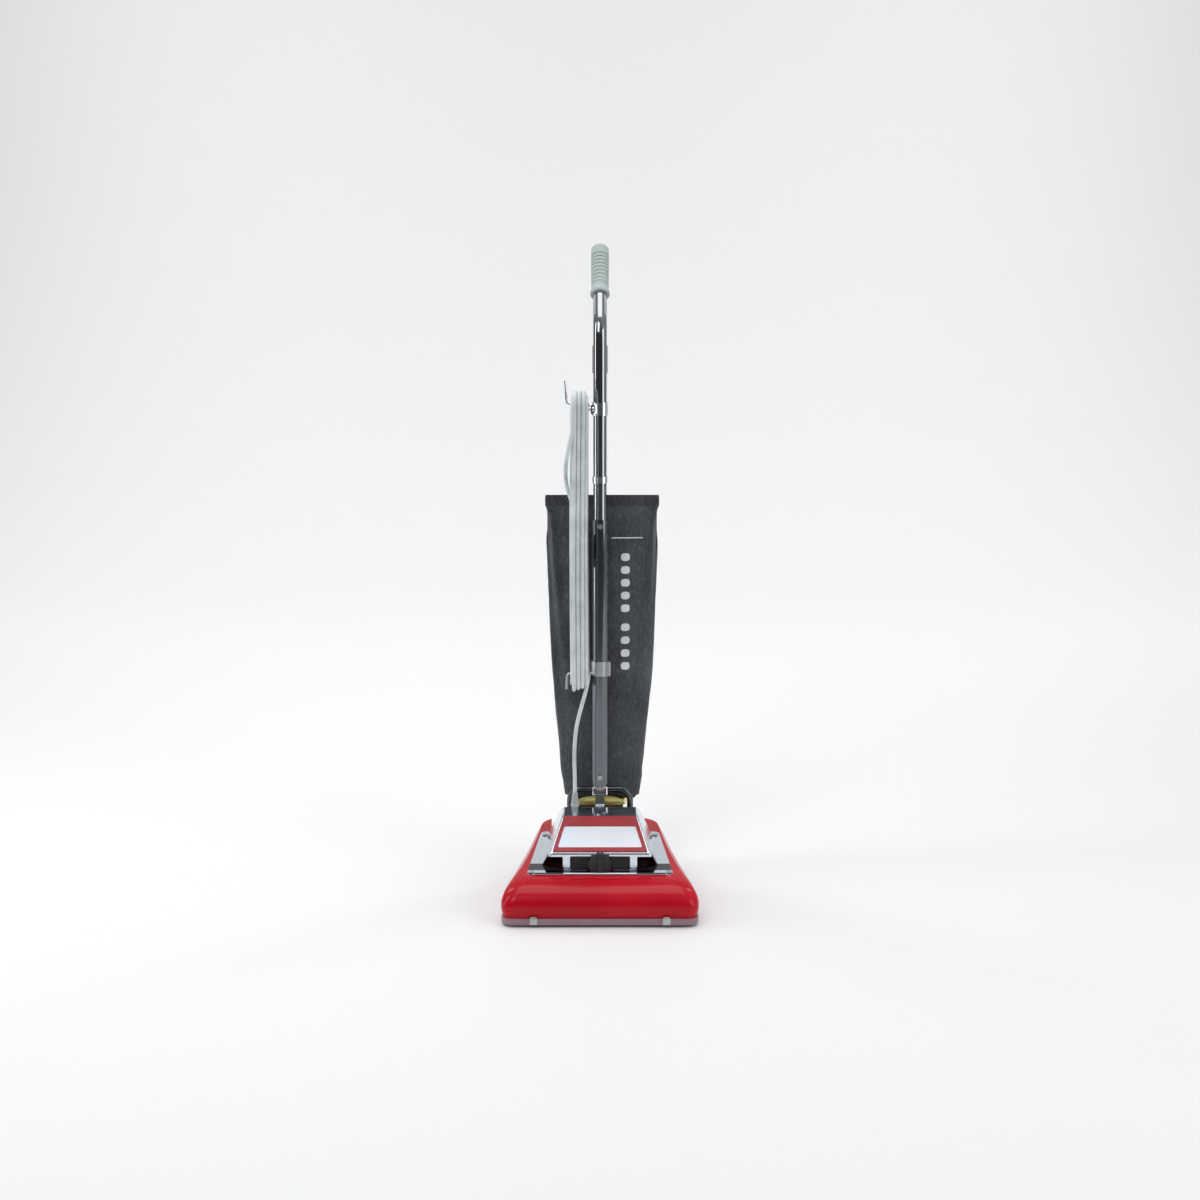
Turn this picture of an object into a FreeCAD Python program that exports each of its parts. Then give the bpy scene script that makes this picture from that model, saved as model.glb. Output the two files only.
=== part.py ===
import FreeCAD, Part
from functools import lru_cache
import math
import os

# Upright vacuum cleaner for commercial floors, in millimetres.
# +Z is up, the front (nozzle) faces -Y, and the origin is at the floor in the middle of the
# machine's outline. Every sub-part is its own node in parts/.

V = FreeCAD.Vector

# ---------------------------------------------------------------- driving dimensions
NOZZLE_HALF = 178.0          # half the nozzle's width at its straight sides
NOSE_Y = -200.0              # front of the nozzle
REAR_Y = 115.0               # back of the head housing
REAR_SPLIT_Y = 58.0          # joint between the two housings
BASE_Z = 10.0                # underside of the head housing
WALL = 3.0                   # moulded wall
SHEET = 1.6                  # hood sheet
TOP_FRONT_Y, TOP_FRONT_Z = -140.0, 76.0      # front end of the housing's sloping top
TOP_SLOPE = 19.0 / 205.0                     # rise of that top per mm towards the back

BRUSH_Y, BRUSH_Z = -158.0, 30.0
BRUSH_R, BRISTLE_R, CHAMBER_R = 19.0, 27.0, 32.0
CHAMBER_HALF = 162.0
MOUTH_X0, MOUTH_PITCH = 10.0, 48.0           # first suction slot each side, and their spacing
BELT_R = 2.75                # round belt's own radius
BRUSH_GROOVE_R = 14.0
PULLEY_R = 6.0
BELT_Z = 20.0                # height of the belt at the motor pulley

MOTOR_Y = -8.0
SHAFT_R = 4.0
CAN_R = 42.0
FAN_R, SCROLL_R = 53.0, 58.0
SCROLL_Z0, SCROLL_Z1 = 36.0, 62.0
DECK_Z = 66.0                # floor that the motor stands on

PIVOT_Y, PIVOT_Z = 70.0, 58.0                # handle pivot, along X
ARM_X = 58.0                                 # bail arm's centre
BAIL_R = 6.0
CROWN_Z = 176.0                              # bail's crown, on its centreline
SLOT_IN, SLOT_OUT = 50.0, 66.0               # slots in the housing that the arms swing in

REAR_AXLE_Y, REAR_AXLE_Z = 103.0, 38.0
REAR_WHEEL_R = 38.0
WHEEL_IN, WHEEL_OUT = 101.0, 121.0
FRONT_AXLE_Y, FRONT_WHEEL_R = -90.0, 20.0
FRONT_WHEEL_IN, FRONT_WHEEL_OUT = 79.0, 93.0
HINGE_Y, HINGE_Z = -30.0, 45.0               # wheel carriage's hinge, along X

KNOB_Z = 93.0
KNOB_R = 21.0
CAM_LOW, CAM_RISE = 13.0, 8.3                # snail cam: smallest radius, and its growth
CAM_SWEEP = 270.0
CAM_Y0, CAM_Y1 = -104.0, -96.0

LOWER_TUBE_R, UPPER_TUBE_R = 15.9, 12.7
TUBE_WALL = 1.4
LOWER_TUBE_Z0, LOWER_TUBE_Z1 = 184.0, 702.0
LOW_SCREW_Z, HIGH_SCREW_Z = LOWER_TUBE_Z0 + 20.0, LOWER_TUBE_Z1 - 12.0
BEND_Z = 1058.0
LEAN = math.radians(40.0)                    # top of the handle leans back
LEAN_LENGTH = 195.5
GRIP_LENGTH = 118.0
GRIP_R = 16.8

DUCT_HALF, DUCT_Y0, DUCT_Y1 = 45.0, 76.0, 112.0
DUCT_Z0, DUCT_Z1 = 70.0, 150.0
DUCT_WALL = 2.0
COLLAR_Z0, COLLAR_Z1 = 144.0, 155.0

BAG_X = 4.0                                  # the bag hangs a little to the right
BAG_Z0, BAG_Z1 = 176.0, 743.0
BAG_CLOTH = 2.2

PEDAL_Y, PEDAL_Z = 97.0, 74.0                # release pedal's pin, along X

LATCH_X, LATCH_Z = 119.0, 15.0               # bottom plate latches at the nozzle's front edge
RELIEF_X, RELIEF_Y, RELIEF_TOP_Z = -48.0, 38.0, 180.0
RELIEF_HOLE_R = 6.0
SWITCH_Z = 1000.0
ROCKER_TIP = 8.0                             # degrees

CORD_R = 3.8
WIND_Y = 52.0                                # hook axis that the cord is wound round
WIND_TOP_Z, WIND_LOW_Z = 909.0, 419.0
WIND_X0, WIND_X1 = -57.0, -18.0
WIND_IN, WIND_OUT = 15.0, 39.0

SKIN = 0.05                                  # running clearance on a radius


# ---------------------------------------------------------------- drawing helpers
def box(x0, x1, y0, y1, z0, z1):
    return Part.makeBox(x1 - x0, y1 - y0, z1 - z0, V(x0, y0, z0))


def rod(radius, start, end):
    start, end = V(*start), V(*end)
    run = end - start
    return Part.makeCylinder(radius, run.Length, start, run)


def ring(outer, inner, start, end):
    return rod(outer, start, end).cut(rod(inner, start, end))


def cone(radius0, radius1, start, end):
    start, end = V(*start), V(*end)
    run = end - start
    return Part.makeCone(radius0, radius1, run.Length, start, run)


def fuse(shapes):
    return shapes[0].multiFuse(shapes[1:]).removeSplitter()


def cut_all(body, tools):
    for tool in tools:
        body = body.cut(tool)
    return body


def mirror_x(shape):
    return shape.mirror(V(0, 0, 0), V(1, 0, 0))


def both_sides(shape):
    return Part.makeCompound([shape, mirror_x(shape)])


def rounded_wire(corners, place):
    """A closed outline of straight lines with an arc at each corner (u, v, radius)."""
    marks = []
    count = len(corners)
    for i, (u, v, radius) in enumerate(corners):
        here = V(u, v, 0)
        before = V(*corners[i - 1][:2], 0) - here
        after = V(*corners[(i + 1) % count][:2], 0) - here
        if radius <= 0:
            marks.append((here, None, here))
            continue
        before.normalize()
        after.normalize()
        half = before.getAngle(after) / 2
        reach = radius / math.tan(half)
        middle = before + after
        middle.normalize()
        centre = here + middle * (radius / math.sin(half))
        marks.append((here + before * reach, centre - middle * radius, here + after * reach))
    edges = []
    for i, (start, through, end) in enumerate(marks):
        if through is not None:
            points = [place(p.x, p.y) for p in (start, through, end)]
            edges.append(Part.Arc(*points).toShape())
        following = marks[(i + 1) % count][0]
        if (following - end).Length > 1e-6:
            edges.append(Part.LineSegment(place(end.x, end.y), place(following.x, following.y)).toShape())
    return Part.Wire(edges)


def prism(axis, corners, low, high):
    """An outline in the plane across the axis, carried from low to high along it."""
    places = {
        "x": (lambda u, v: V(low, u, v), V(high - low, 0, 0)),
        "y": (lambda u, v: V(u, low, v), V(0, high - low, 0)),
        "z": (lambda u, v: V(u, v, low), V(0, 0, high - low)),
    }
    place, run = places[axis]
    return Part.Face(rounded_wire(corners, place)).extrude(run)


def symmetric(half):
    """Corners of the +u half, from the bottom up, joined with their mirror image."""
    return half + [(-u, v, r) for u, v, r in reversed(half)]


def bent_path(points, radii):
    """Straight runs joined by tangent arcs, one radius for each inner point."""
    points = [V(*p) for p in points]
    edges = []
    start = points[0]
    for i in range(1, len(points) - 1):
        before = (points[i - 1] - points[i]).normalize()
        after = (points[i + 1] - points[i]).normalize()
        half = before.getAngle(after) / 2
        reach = radii[i - 1] / math.tan(half)
        middle = (before + after).normalize()
        top = points[i] + middle * (radii[i - 1] / math.sin(half) - radii[i - 1])
        into, out = points[i] + before * reach, points[i] + after * reach
        edges.append(Part.LineSegment(start, into).toShape())
        edges.append(Part.Arc(into, top, out).toShape())
        start = out
    edges.append(Part.LineSegment(start, points[-1]).toShape())
    return Part.Wire(edges)


def bent_rod(points, radii, radius):
    path = bent_path(points, radii)
    direction = V(*points[1]) - V(*points[0])
    section = Part.Wire(Part.makeCircle(radius, V(*points[0]), direction))
    return path.makePipeShell([section], True, False)


def cord_tube(name, points):
    """A cord's tube: each arc is as large as its two runs allow."""
    runs = [(V(*b) - V(*a)).Length for a, b in zip(points, points[1:])]
    radii = []
    for i in range(1, len(points) - 1):
        turn = (V(*points[i]) - V(*points[i - 1])).getAngle(V(*points[i + 1]) - V(*points[i]))
        radii.append(0.45 * min(runs[i - 1], runs[i]) / math.tan(turn / 2))
    tube = bent_rod(points, radii, CORD_R)
    expected = math.pi * CORD_R ** 2 * bent_path(points, radii).Length
    print(name, "runs", [round(r) for r in runs], "radii", [round(r) for r in radii])
    print(name, "volume over section x length", round(tube.Volume / expected, 4))
    return tube


def top_z(y):
    """Height of the housing's sloping top."""
    return TOP_FRONT_Z + (y - TOP_FRONT_Y) * TOP_SLOPE


# ---------------------------------------------------------------- head housing
def head_loft(inset):
    """The head's outer form, or its inside when inset by the wall."""
    # height, half-width at the nose, nose y, half-width at the back, back y, nose corner radius
    levels = [
        (BASE_Z, 178.1, NOSE_Y + 3.5, 123.0, REAR_Y - 2, 18.0),
        (24.0, 180.6, NOSE_Y + 1.0, 124.5, REAR_Y - 1, 20.0),
        (40.0, NOZZLE_HALF + 4.2, NOSE_Y, 125.0, REAR_Y, 22.0),
        (53.0, 178.6, NOSE_Y + 5.5, 125.0, REAR_Y, 24.0),
        (64.0, 171.0, NOSE_Y + 17.0, 124.0, REAR_Y, 26.0),
        (73.0, 159.5, NOSE_Y + 39.0, 122.5, REAR_Y - 1, 28.0),
        (82.0, 144.0, NOSE_Y + 66.0, 121.0, REAR_Y - 2, 30.0),
        (104.0, 128.0, NOSE_Y + 112.0, 117.0, REAR_Y - 5, 30.0),
    ]
    wires = []
    for z, nose_half, nose_y, back_half, back_y, radius in levels:
        corners = symmetric([
            (nose_half - inset, nose_y + inset, radius - inset),
            (back_half - inset, back_y - inset, radius - inset),
        ])
        wires.append(rounded_wire(corners, lambda u, v, z=z: V(u, v, z)))
    return Part.makeLoft(wires, True, False)


def under_top(inset):
    """Everything below the sloping top, or below it by the inset."""
    low_y, high_y = -260.0, 200.0
    corners = [
        (low_y, -20.0, 0),
        (high_y, -20.0, 0),
        (high_y, top_z(high_y) - inset, 0),
        (low_y, top_z(low_y) - inset, 0),
    ]
    return prism("x", corners, -220.0, 220.0)


def rear_wheel_well():
    centre = (REAR_AXLE_Y, REAR_AXLE_Z)
    arch = rod(REAR_WHEEL_R + 3.5, (98.0, *centre), (140.0, *centre))
    below = box(98.0, 140.0, centre[0] - REAR_WHEEL_R - 3.5, 160.0, 0.0, centre[1])
    behind = box(98.0, 140.0, centre[0], 160.0, 0.0, centre[1] + REAR_WHEEL_R + 3.5)
    return fuse([arch, below, behind])


def arm_slot():
    return box(SLOT_IN, SLOT_OUT, PIVOT_Y - 12.0, 160.0, PIVOT_Z - 11.0, 140.0)


def front_wheel_pocket():
    wheel = box(67.0, 99.0, -116.0, -64.0, 0.0, 47.0)
    arm = box(67.0, 78.0, -116.0, -20.0, 0.0, SCROLL_Z1)
    return fuse([wheel, arm])


@lru_cache(maxsize=1)
def whole_housing():
    """Both housings in one form; they are parted at REAR_SPLIT_Y."""
    outer = head_loft(0.0).common(under_top(0.0))
    inner = head_loft(WALL).common(under_top(WALL))
    inner = inner.fuse(inner.translated(V(0, 0, -6.0))).common(under_top(WALL))
    shell = outer.cut(inner)

    brush_line = [(-CHAMBER_HALF - WALL, BRUSH_Y, BRUSH_Z), (CHAMBER_HALF + WALL, BRUSH_Y, BRUSH_Z)]
    brush_wall = rod(CHAMBER_R + WALL, *brush_line)
    brush_skirt = box(-CHAMBER_HALF - WALL, CHAMBER_HALF + WALL, BRUSH_Y - 35.0, BRUSH_Y + 35.0,
                      BASE_Z, BRUSH_Z)
    scroll = rod(SCROLL_R + WALL, (0, MOTOR_Y, BASE_Z), (0, MOTOR_Y, DECK_Z))
    throat = box(-40.0, 40.0, -126.0, -40.0, BASE_Z, DECK_Z)
    deck = box(-103.0, 103.0, -115.0, 57.0, SCROLL_Z1, DECK_Z)
    bay_wall = box(-103.0, 103.0, -115.0, 57.0, DECK_Z, 120.0)
    rear_block = box(-76.0, 76.0, 54.0, REAR_Y, BASE_Z, 100.0)
    wells = box(95.0, 130.0, 58.0, REAR_Y, BASE_Z, 84.0)
    pockets = box(64.0, 102.0, -119.0, -17.0, BASE_Z, DECK_Z - 2.0)
    inside = fuse([brush_wall, brush_skirt, scroll, throat, deck, bay_wall, rear_block,
                   wells, mirror_x(wells), pockets, mirror_x(pockets)])
    body = shell.fuse(inside.common(outer))

    brush_room = rod(CHAMBER_R, (-CHAMBER_HALF, BRUSH_Y, BRUSH_Z), (CHAMBER_HALF, BRUSH_Y, BRUSH_Z))
    brush_mouth = box(-CHAMBER_HALF, CHAMBER_HALF, BRUSH_Y - CHAMBER_R, BRUSH_Y + CHAMBER_R, 0, BRUSH_Z)
    fan_room = rod(SCROLL_R, (0, MOTOR_Y, SCROLL_Z0), (0, MOTOR_Y, SCROLL_Z1))
    pulley_room = rod(26.0, (0, MOTOR_Y, 0), (0, MOTOR_Y, SCROLL_Z0))
    belt_room = box(-37.0, 37.0, -136.0, -44.0, 0, 64.0)
    belt_tail = box(-20.0, 20.0, -60.0, MOTOR_Y, 0, SCROLL_Z0)
    beam_slot = box(-78.0, 78.0, -107.0, -90.0, 43.0, 64.0)
    post_hole = box(-7.0, 7.0, -111.0, -92.0, 60.0, 70.0)
    shaft_hole = rod(11.0, (0, MOTOR_Y, 50.0), (0, MOTOR_Y, 70.0))
    motor_bay = box(-100.0, 100.0, -112.0, 54.0, DECK_Z, 140.0)
    outlet = box(-30.0, 30.0, 36.0, 100.0, 44.0, 61.0)
    duct_well = box(-41.0, 41.0, 80.0, 108.0, 44.0, 140.0)
    duct_seat = box(-SLOT_IN, SLOT_IN, PIVOT_Y - 12.0, 160.0, DUCT_Z0, 140.0)
    rear_hollow = box(-92.0, -79.0, 60.0, 112.0, 0, 60.0)
    knob_notch = box(-24.0, 24.0, -134.0, -112.0, 70.0, 100.0)
    cavities = [brush_room, brush_mouth, fan_room, pulley_room, belt_room, belt_tail, beam_slot,
                post_hole, shaft_hole, motor_bay, outlet, duct_well, duct_seat, knob_notch,
                mirror_x(rear_hollow)]
    for shape in (arm_slot(), rear_wheel_well(), front_wheel_pocket()):
        cavities += [shape, mirror_x(shape)]
    cavities += [pedal_room(), handle_pivot_pins(), rear_axle(), pedal_pin(), brush_bearing_seats(),
                 carriage_hinge_holes(), screw_shanks(), latch_rivet_shanks(), strap_foot()]
    body = cut_all(body, cavities)
    pad = box(-38.0, 38.0, 64.0, 92.0, BASE_Z - 3.0, BASE_Z)
    return body.fuse(pad).removeSplitter()


def make_base_housing():
    return whole_housing().common(box(-250.0, 250.0, -250.0, REAR_SPLIT_Y, -50.0, 250.0))


def make_rear_housing():
    """The head's back, bolted on: handle pivots, duct well, pedal slot and rear wheel wells."""
    return whole_housing().common(box(-250.0, 250.0, REAR_SPLIT_Y, 250.0, -50.0, 250.0))


def pedal_room():
    """Slot that the release pedal tips in, left of the left arm slot."""
    return box(-95.0, -69.0, 86.0, 160.0, 46.0, 140.0)


def pedal_pin():
    return rod(3.0, (-98.0, PEDAL_Y, PEDAL_Z), (-67.0, PEDAL_Y, PEDAL_Z))


def handle_pivot_pins():
    return both_sides(rod(5.0, (43.5, PIVOT_Y, PIVOT_Z), (74.0, PIVOT_Y, PIVOT_Z)))


def rear_axle():
    return rod(4.0, (-124.5, REAR_AXLE_Y, REAR_AXLE_Z), (124.5, REAR_AXLE_Y, REAR_AXLE_Z))


def brush_bearing_seats():
    """Round seats at both ends of the brush room, open to it, that the bearings sit in."""
    seat = rod(11.0, (CHAMBER_HALF - 1.0, BRUSH_Y, BRUSH_Z), (CHAMBER_HALF + 2.0, BRUSH_Y, BRUSH_Z))
    return both_sides(seat)


def carriage_hinge_holes():
    return both_sides(rod(4.0 + SKIN, (77.0, HINGE_Y, HINGE_Z), (84.0, HINGE_Y, HINGE_Z)))


def strap_foot():
    return box(-8.5, 8.5, 56.0, 58.0, DUCT_Z0, 110.0)


# ---------------------------------------------------------------- hood
LABEL_Y, LABEL_Z = -120.0, 111.5             # front edge of the raised box's sloping roof
ROOF_TILT = math.radians(25.5)
HOOD_REAR_Y = 50.0
SCREW_SPOTS = [(126.0, -130.0), (-126.0, -130.0), (106.0, 40.0), (-106.0, 40.0)]


def hood_box(inset):
    """The raised box: sloping roof, leaning sides, rounded back."""
    roof_end = 156.5 - inset
    roof_y = LABEL_Y + (156.5 - LABEL_Z) / math.tan(ROOF_TILT)
    side = [
        (LABEL_Y + inset, 60.0, 0),
        (LABEL_Y + inset, LABEL_Z - inset, 5.0),
        (roof_y, roof_end, 40.0),
        (22.0, roof_end, 26.0),
        (44.0 - inset, 144.0, 20.0),
        (HOOD_REAR_Y - inset, 60.0, 0),
    ]
    lean = 29.0 / 60.0
    front = symmetric([
        (99.0 + 37.0 * lean - inset, 60.0, 0),
        (99.0 - 60.0 * lean - inset, 157.0, 0),
        (99.0 - 83.0 * lean - inset, 180.0, 0),
    ])
    form = prism("x", side, -140.0, 140.0).common(prism("y", front, -150.0, 80.0))
    edges = [e for e in form.Edges
             if e.BoundBox.YLength > 2 and e.BoundBox.XLength < 60 and e.BoundBox.ZMax > 100
             and e.BoundBox.YMin > LABEL_Y - 5]
    return form.makeFillet(5.0 - inset * 0.5, edges)


def hood_skirt():
    sheet = under_top(-SHEET).cut(under_top(0.0))
    outline = symmetric([(134.0, TOP_FRONT_Y, 12.0), (113.0, 56.0, 10.0)])
    plate = sheet.common(prism("z", outline, 40.0, 140.0))
    rim_y, rim_z = TOP_FRONT_Y + 2.6, TOP_FRONT_Z + 2.4
    rim = rod(2.4, (-120.0, rim_y, rim_z), (120.0, rim_y, rim_z))
    return plate.fuse(rim.cut(under_top(0.0)))


def hood_window():
    return prism("y", symmetric([(55.0, 80.0, 3.0), (55.0, 106.0, 3.0)]), -125.0, -114.0)


def corner_hollow(inset):
    """The pocket under the label's front corners, where the box is cut away on the slant."""
    corners = [(68.0 + inset, -140.0, 0), (118.0, -140.0, 0), (118.0, -92.0, 0),
               (68.0 + inset, -116.0 + inset * 0.5, 0)]
    return prism("z", corners, 60.0, 105.0 + inset)


def make_hood():
    form = hood_box(0.0)
    inside = hood_box(SHEET)
    for sign in (1, -1):
        pocket = corner_hollow(0.0)
        tight = corner_hollow(-SHEET)
        if sign < 0:
            pocket, tight = mirror_x(pocket), mirror_x(tight)
        form = form.cut(pocket)
        inside = inside.cut(tight)
    form = form.cut(under_top(0.0))
    hood = fuse([hood_skirt(), form]).cut(inside)
    hood = hood.cut(hood_window())
    notch = box(-24.0, 24.0, -134.0, LABEL_Y - 0.001, 60.0, 84.0)
    rear_room = box(-68.0, 68.0, PIVOT_Y - 16.0, 90.0, 60.0, 140.0)
    arm_room = box(SLOT_IN - 2.0, SLOT_OUT + 2.0, HOOD_REAR_Y + 2.0, 90.0, 60.0, 140.0)
    for tool in (notch, rear_room, arm_room, mirror_x(arm_room), screw_shanks(), relief_hole()):
        hood = hood.cut(tool)
    return hood


def screw_shanks():
    shanks = []
    for x, y in SCREW_SPOTS:
        shanks.append(rod(2.2, (x, y, top_z(y) - 9.0), (x, y, top_z(y) + 4.0)))
    return Part.makeCompound(shanks)


def make_head_fasteners():
    """The hood's four screws and the two rivets that the plate latches turn on."""
    screws = [latch_rivet(side, True) for side in (1, -1)]
    for x, y in SCREW_SPOTS:
        seat = top_z(y) + SHEET + 0.6
        shank = rod(2.2, (x, y, top_z(y) - 9.0), (x, y, seat + 0.5))
        head = rod(5.0, (x, y, seat), (x, y, seat + 2.6))
        head = head.makeFillet(1.6, [e for e in head.Edges if e.BoundBox.ZMin > seat + 2.5])
        slot = box(x - 4.6, x + 4.6, y - 0.6, y + 0.6, seat + 1.4, seat + 4.0)
        screws.append(fuse([shank, head]).cut(slot))
    return Part.makeCompound(screws)


def on_roof(shape):
    """Move a shape drawn at the origin, Z along the normal, onto the sloping roof."""
    placed = shape.copy()
    placed.Placement = FreeCAD.Placement(V(0, LABEL_Y, LABEL_Z), FreeCAD.Rotation(V(1, 0, 0),
                                                                                math.degrees(ROOF_TILT)))
    return placed


def label_outline(low, high, inset):
    """A trapezoid on the roof between two distances up the slope."""
    def half(distance):
        return 90.0 - distance * 0.208 - inset
    return symmetric([(half(low), low, 3.0), (half(high), high, 3.0)])


def make_label_frame():
    plate = prism("z", label_outline(3.0, 97.0, 2.0), 0.0, 2.0)
    window = prism("z", label_outline(14.0, 70.0, 9.5), -1.0, 3.0)
    return on_roof(plate.cut(window))


def make_label_panel():
    return on_roof(prism("z", label_outline(14.0, 70.0, 9.5), 0.0, 1.1))


def make_hood_grille():
    back = prism("y", symmetric([(54.6, 80.4, 2.8), (54.6, 105.6, 2.8)]), -117.5, -115.5)
    slats = [back]
    for i in range(5):
        z = 83.0 + i * 4.9
        slats.append(box(-52.0, 52.0, -119.4, -117.5, z, z + 1.9))
    plate = fuse(slats)
    hub = rod(7.0, (0, -119.4, KNOB_Z), (0, -115.5, KNOB_Z))
    return plate.fuse(hub).cut(rod(4.0 + SKIN, (0, -130.0, KNOB_Z), (0, -100.0, KNOB_Z)))


# ---------------------------------------------------------------- height adjuster
def make_height_knob():
    disc = rod(KNOB_R, (0, -131.0, KNOB_Z), (0, -120.2, KNOB_Z))
    edge = [e for e in disc.Edges if e.BoundBox.YMax < -130.9]
    disc = disc.makeFillet(2.5, edge)
    flutes = []
    for i in range(18):
        angle = math.radians(i * 20.0 + 10.0)
        x, z = KNOB_R * math.cos(angle), KNOB_Z + KNOB_R * math.sin(angle)
        flutes.append(rod(1.5, (x, -132.0, z), (x, -119.0, z)))
    disc = cut_all(disc, flutes)
    bar = box(-3.5, 3.5, -136.0, -130.5, KNOB_Z - 12.5, KNOB_Z + 12.5)
    bar = bar.makeFillet(1.4, bar.Edges)
    spindle = rod(4.0, (0, -121.0, KNOB_Z), (0, -94.0, KNOB_Z))
    return fuse([disc, bar, spindle])


def make_height_cam():
    """Snail cam: its radius grows by CAM_RISE over CAM_SWEEP degrees, then steps back."""
    points = []
    steps = 18
    for i in range(steps + 1):
        share = i / steps
        # share 0 is at the bottom; a positive turn about -Y brings later shares down to it
        angle = math.radians(-90.0 - CAM_SWEEP * share)
        radius = CAM_LOW + CAM_RISE * share
        points.append(V(radius * math.cos(angle), CAM_Y0, KNOB_Z + radius * math.sin(angle)))
    spiral = Part.BSplineCurve()
    spiral.interpolate(points)
    lead = V(0.55 * CAM_LOW, CAM_Y0, KNOB_Z - 0.836 * CAM_LOW)
    outline = Part.Wire([
        spiral.toShape(),
        Part.LineSegment(points[-1], lead).toShape(),
        Part.LineSegment(lead, points[0]).toShape(),
    ])
    cam = Part.Face(outline).extrude(V(0, CAM_Y1 - CAM_Y0, 0))
    return cam.cut(rod(4.0, (0, -130.0, KNOB_Z), (0, -80.0, KNOB_Z)))


def make_wheel_carriage():
    beam = box(-76.0, 76.0, -105.0, -97.0, 56.5, 62.0)
    post = box(-5.0, 5.0, CAM_Y0, CAM_Y1, 60.0, KNOB_Z - CAM_LOW - 0.7)
    parts = [beam, post]
    for side in (1, -1):
        arm = prism("x", [
            (-105.0, 62.0, 2.0), (-105.0, 50.0, 4.0), (FRONT_AXLE_Y - 8.0, FRONT_WHEEL_R - 7.0, 6.0),
            (FRONT_AXLE_Y + 8.0, FRONT_WHEEL_R - 7.0, 6.0), (HINGE_Y + 6.0, HINGE_Z - 6.0, 5.0),
            (HINGE_Y + 6.0, HINGE_Z + 6.0, 5.0), (HINGE_Y - 10.0, HINGE_Z + 8.0, 4.0), (-94.0, 62.0, 2.0),
        ], 70.0, 76.0)
        stub = rod(4.0, (75.0, HINGE_Y, HINGE_Z), (83.0, HINGE_Y, HINGE_Z))
        axle = rod(3.0, (75.0, FRONT_AXLE_Y, FRONT_WHEEL_R), (94.0, FRONT_AXLE_Y, FRONT_WHEEL_R))
        head = rod(4.5, (94.0, FRONT_AXLE_Y, FRONT_WHEEL_R), (95.5, FRONT_AXLE_Y, FRONT_WHEEL_R))
        arm = fuse([arm, stub, axle, head])
        parts.append(arm if side > 0 else mirror_x(arm))
    return fuse(parts)


def make_front_wheel(side):
    centre = (FRONT_AXLE_Y, FRONT_WHEEL_R)
    wheel = rod(FRONT_WHEEL_R, (FRONT_WHEEL_IN, *centre), (FRONT_WHEEL_OUT, *centre))
    wheel = wheel.makeFillet(2.0, [e for e in wheel.Edges if e.Length > 100 and e.isClosed()])
    dish = ring(15.0, 6.5, (FRONT_WHEEL_OUT - 3.0, *centre), (FRONT_WHEEL_OUT + 1.0, *centre))
    wheel = wheel.cut(dish).cut(rod(3.0 + SKIN, (60.0, *centre), (110.0, *centre)))
    return wheel if side > 0 else mirror_x(wheel)


def make_rear_wheel(side):
    centre = (REAR_AXLE_Y, REAR_AXLE_Z)
    wheel = rod(REAR_WHEEL_R, (WHEEL_IN, *centre), (WHEEL_OUT, *centre))
    wheel = wheel.makeFillet(3.0, [e for e in wheel.Edges if e.isClosed()])
    dish = ring(29.0, 10.0, (WHEEL_OUT - 4.0, *centre), (WHEEL_OUT + 1.0, *centre))
    inner_dish = ring(29.0, 10.0, (WHEEL_IN - 1.0, *centre), (WHEEL_IN + 4.0, *centre))
    bore = rod(4.0 + SKIN, (90.0, *centre), (130.0, *centre))
    wheel = cut_all(wheel, [dish, inner_dish, bore])
    return wheel if side > 0 else mirror_x(wheel)


def make_axle_push_nuts():
    centre = (REAR_AXLE_Y, REAR_AXLE_Z)
    nut = ring(7.0, 4.0, (WHEEL_OUT + 0.5, *centre), (WHEEL_OUT + 2.5, *centre))
    return both_sides(nut)


# ---------------------------------------------------------------- motor and fan
def motor_tube(outer, inner, z0, z1):
    return ring(outer, inner, (0, MOTOR_Y, z0), (0, MOTOR_Y, z1))


def motor_disc(radius, z0, z1):
    return rod(radius, (0, MOTOR_Y, z0), (0, MOTOR_Y, z1))


def make_motor_can():
    wall = motor_tube(CAN_R, CAN_R - 2.0, DECK_Z, 136.0)
    flange = motor_tube(CAN_R + 6.0, CAN_R - 2.0, DECK_Z, DECK_Z + 3.0)
    crown = motor_tube(CAN_R, 11.0, 134.0, 136.0)
    seat = motor_tube(13.0, 11.0, 127.0, 136.0)
    can = fuse([wall, flange, crown, seat])
    for i in range(6):
        vent = box(-4.0, 4.0, 25.0, 60.0, 127.0, 132.0)
        vent.rotate(V(0, 0, 0), V(0, 0, 1), i * 60.0)
        can = can.cut(vent.translated(V(0, MOTOR_Y, 0)))
    return can


def make_field_stator():
    stack = motor_tube(CAN_R - 2.0, 25.0, 78.0, 108.0)
    windings = motor_tube(CAN_R - 5.0, 28.0, 74.0, 111.5)
    return stack.fuse(windings)


def make_motor_bearings():
    low = motor_tube(11.0, SHAFT_R + SKIN, SCROLL_Z1, DECK_Z + 2.0)
    high = motor_tube(11.0, SHAFT_R + SKIN, 128.0, 135.0)
    return Part.makeCompound([low, high])


def make_motor_shaft():
    return motor_disc(SHAFT_R, 14.0, 136.0)


def make_armature():
    core = motor_tube(24.0, SHAFT_R, 78.0, 108.0)
    slots = []
    for i in range(12):
        slot = rod(1.8, (22.5, 0, 70.0), (22.5, 0, 115.0))
        slot.rotate(V(0, 0, 0), V(0, 0, 1), i * 30.0)
        slots.append(slot.translated(V(0, MOTOR_Y, 0)))
    coils = motor_tube(19.0, SHAFT_R, 74.5, 111.5)
    return cut_all(core, slots).fuse(coils)


def make_commutator():
    return motor_tube(12.0, SHAFT_R, 112.5, 125.0)


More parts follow.
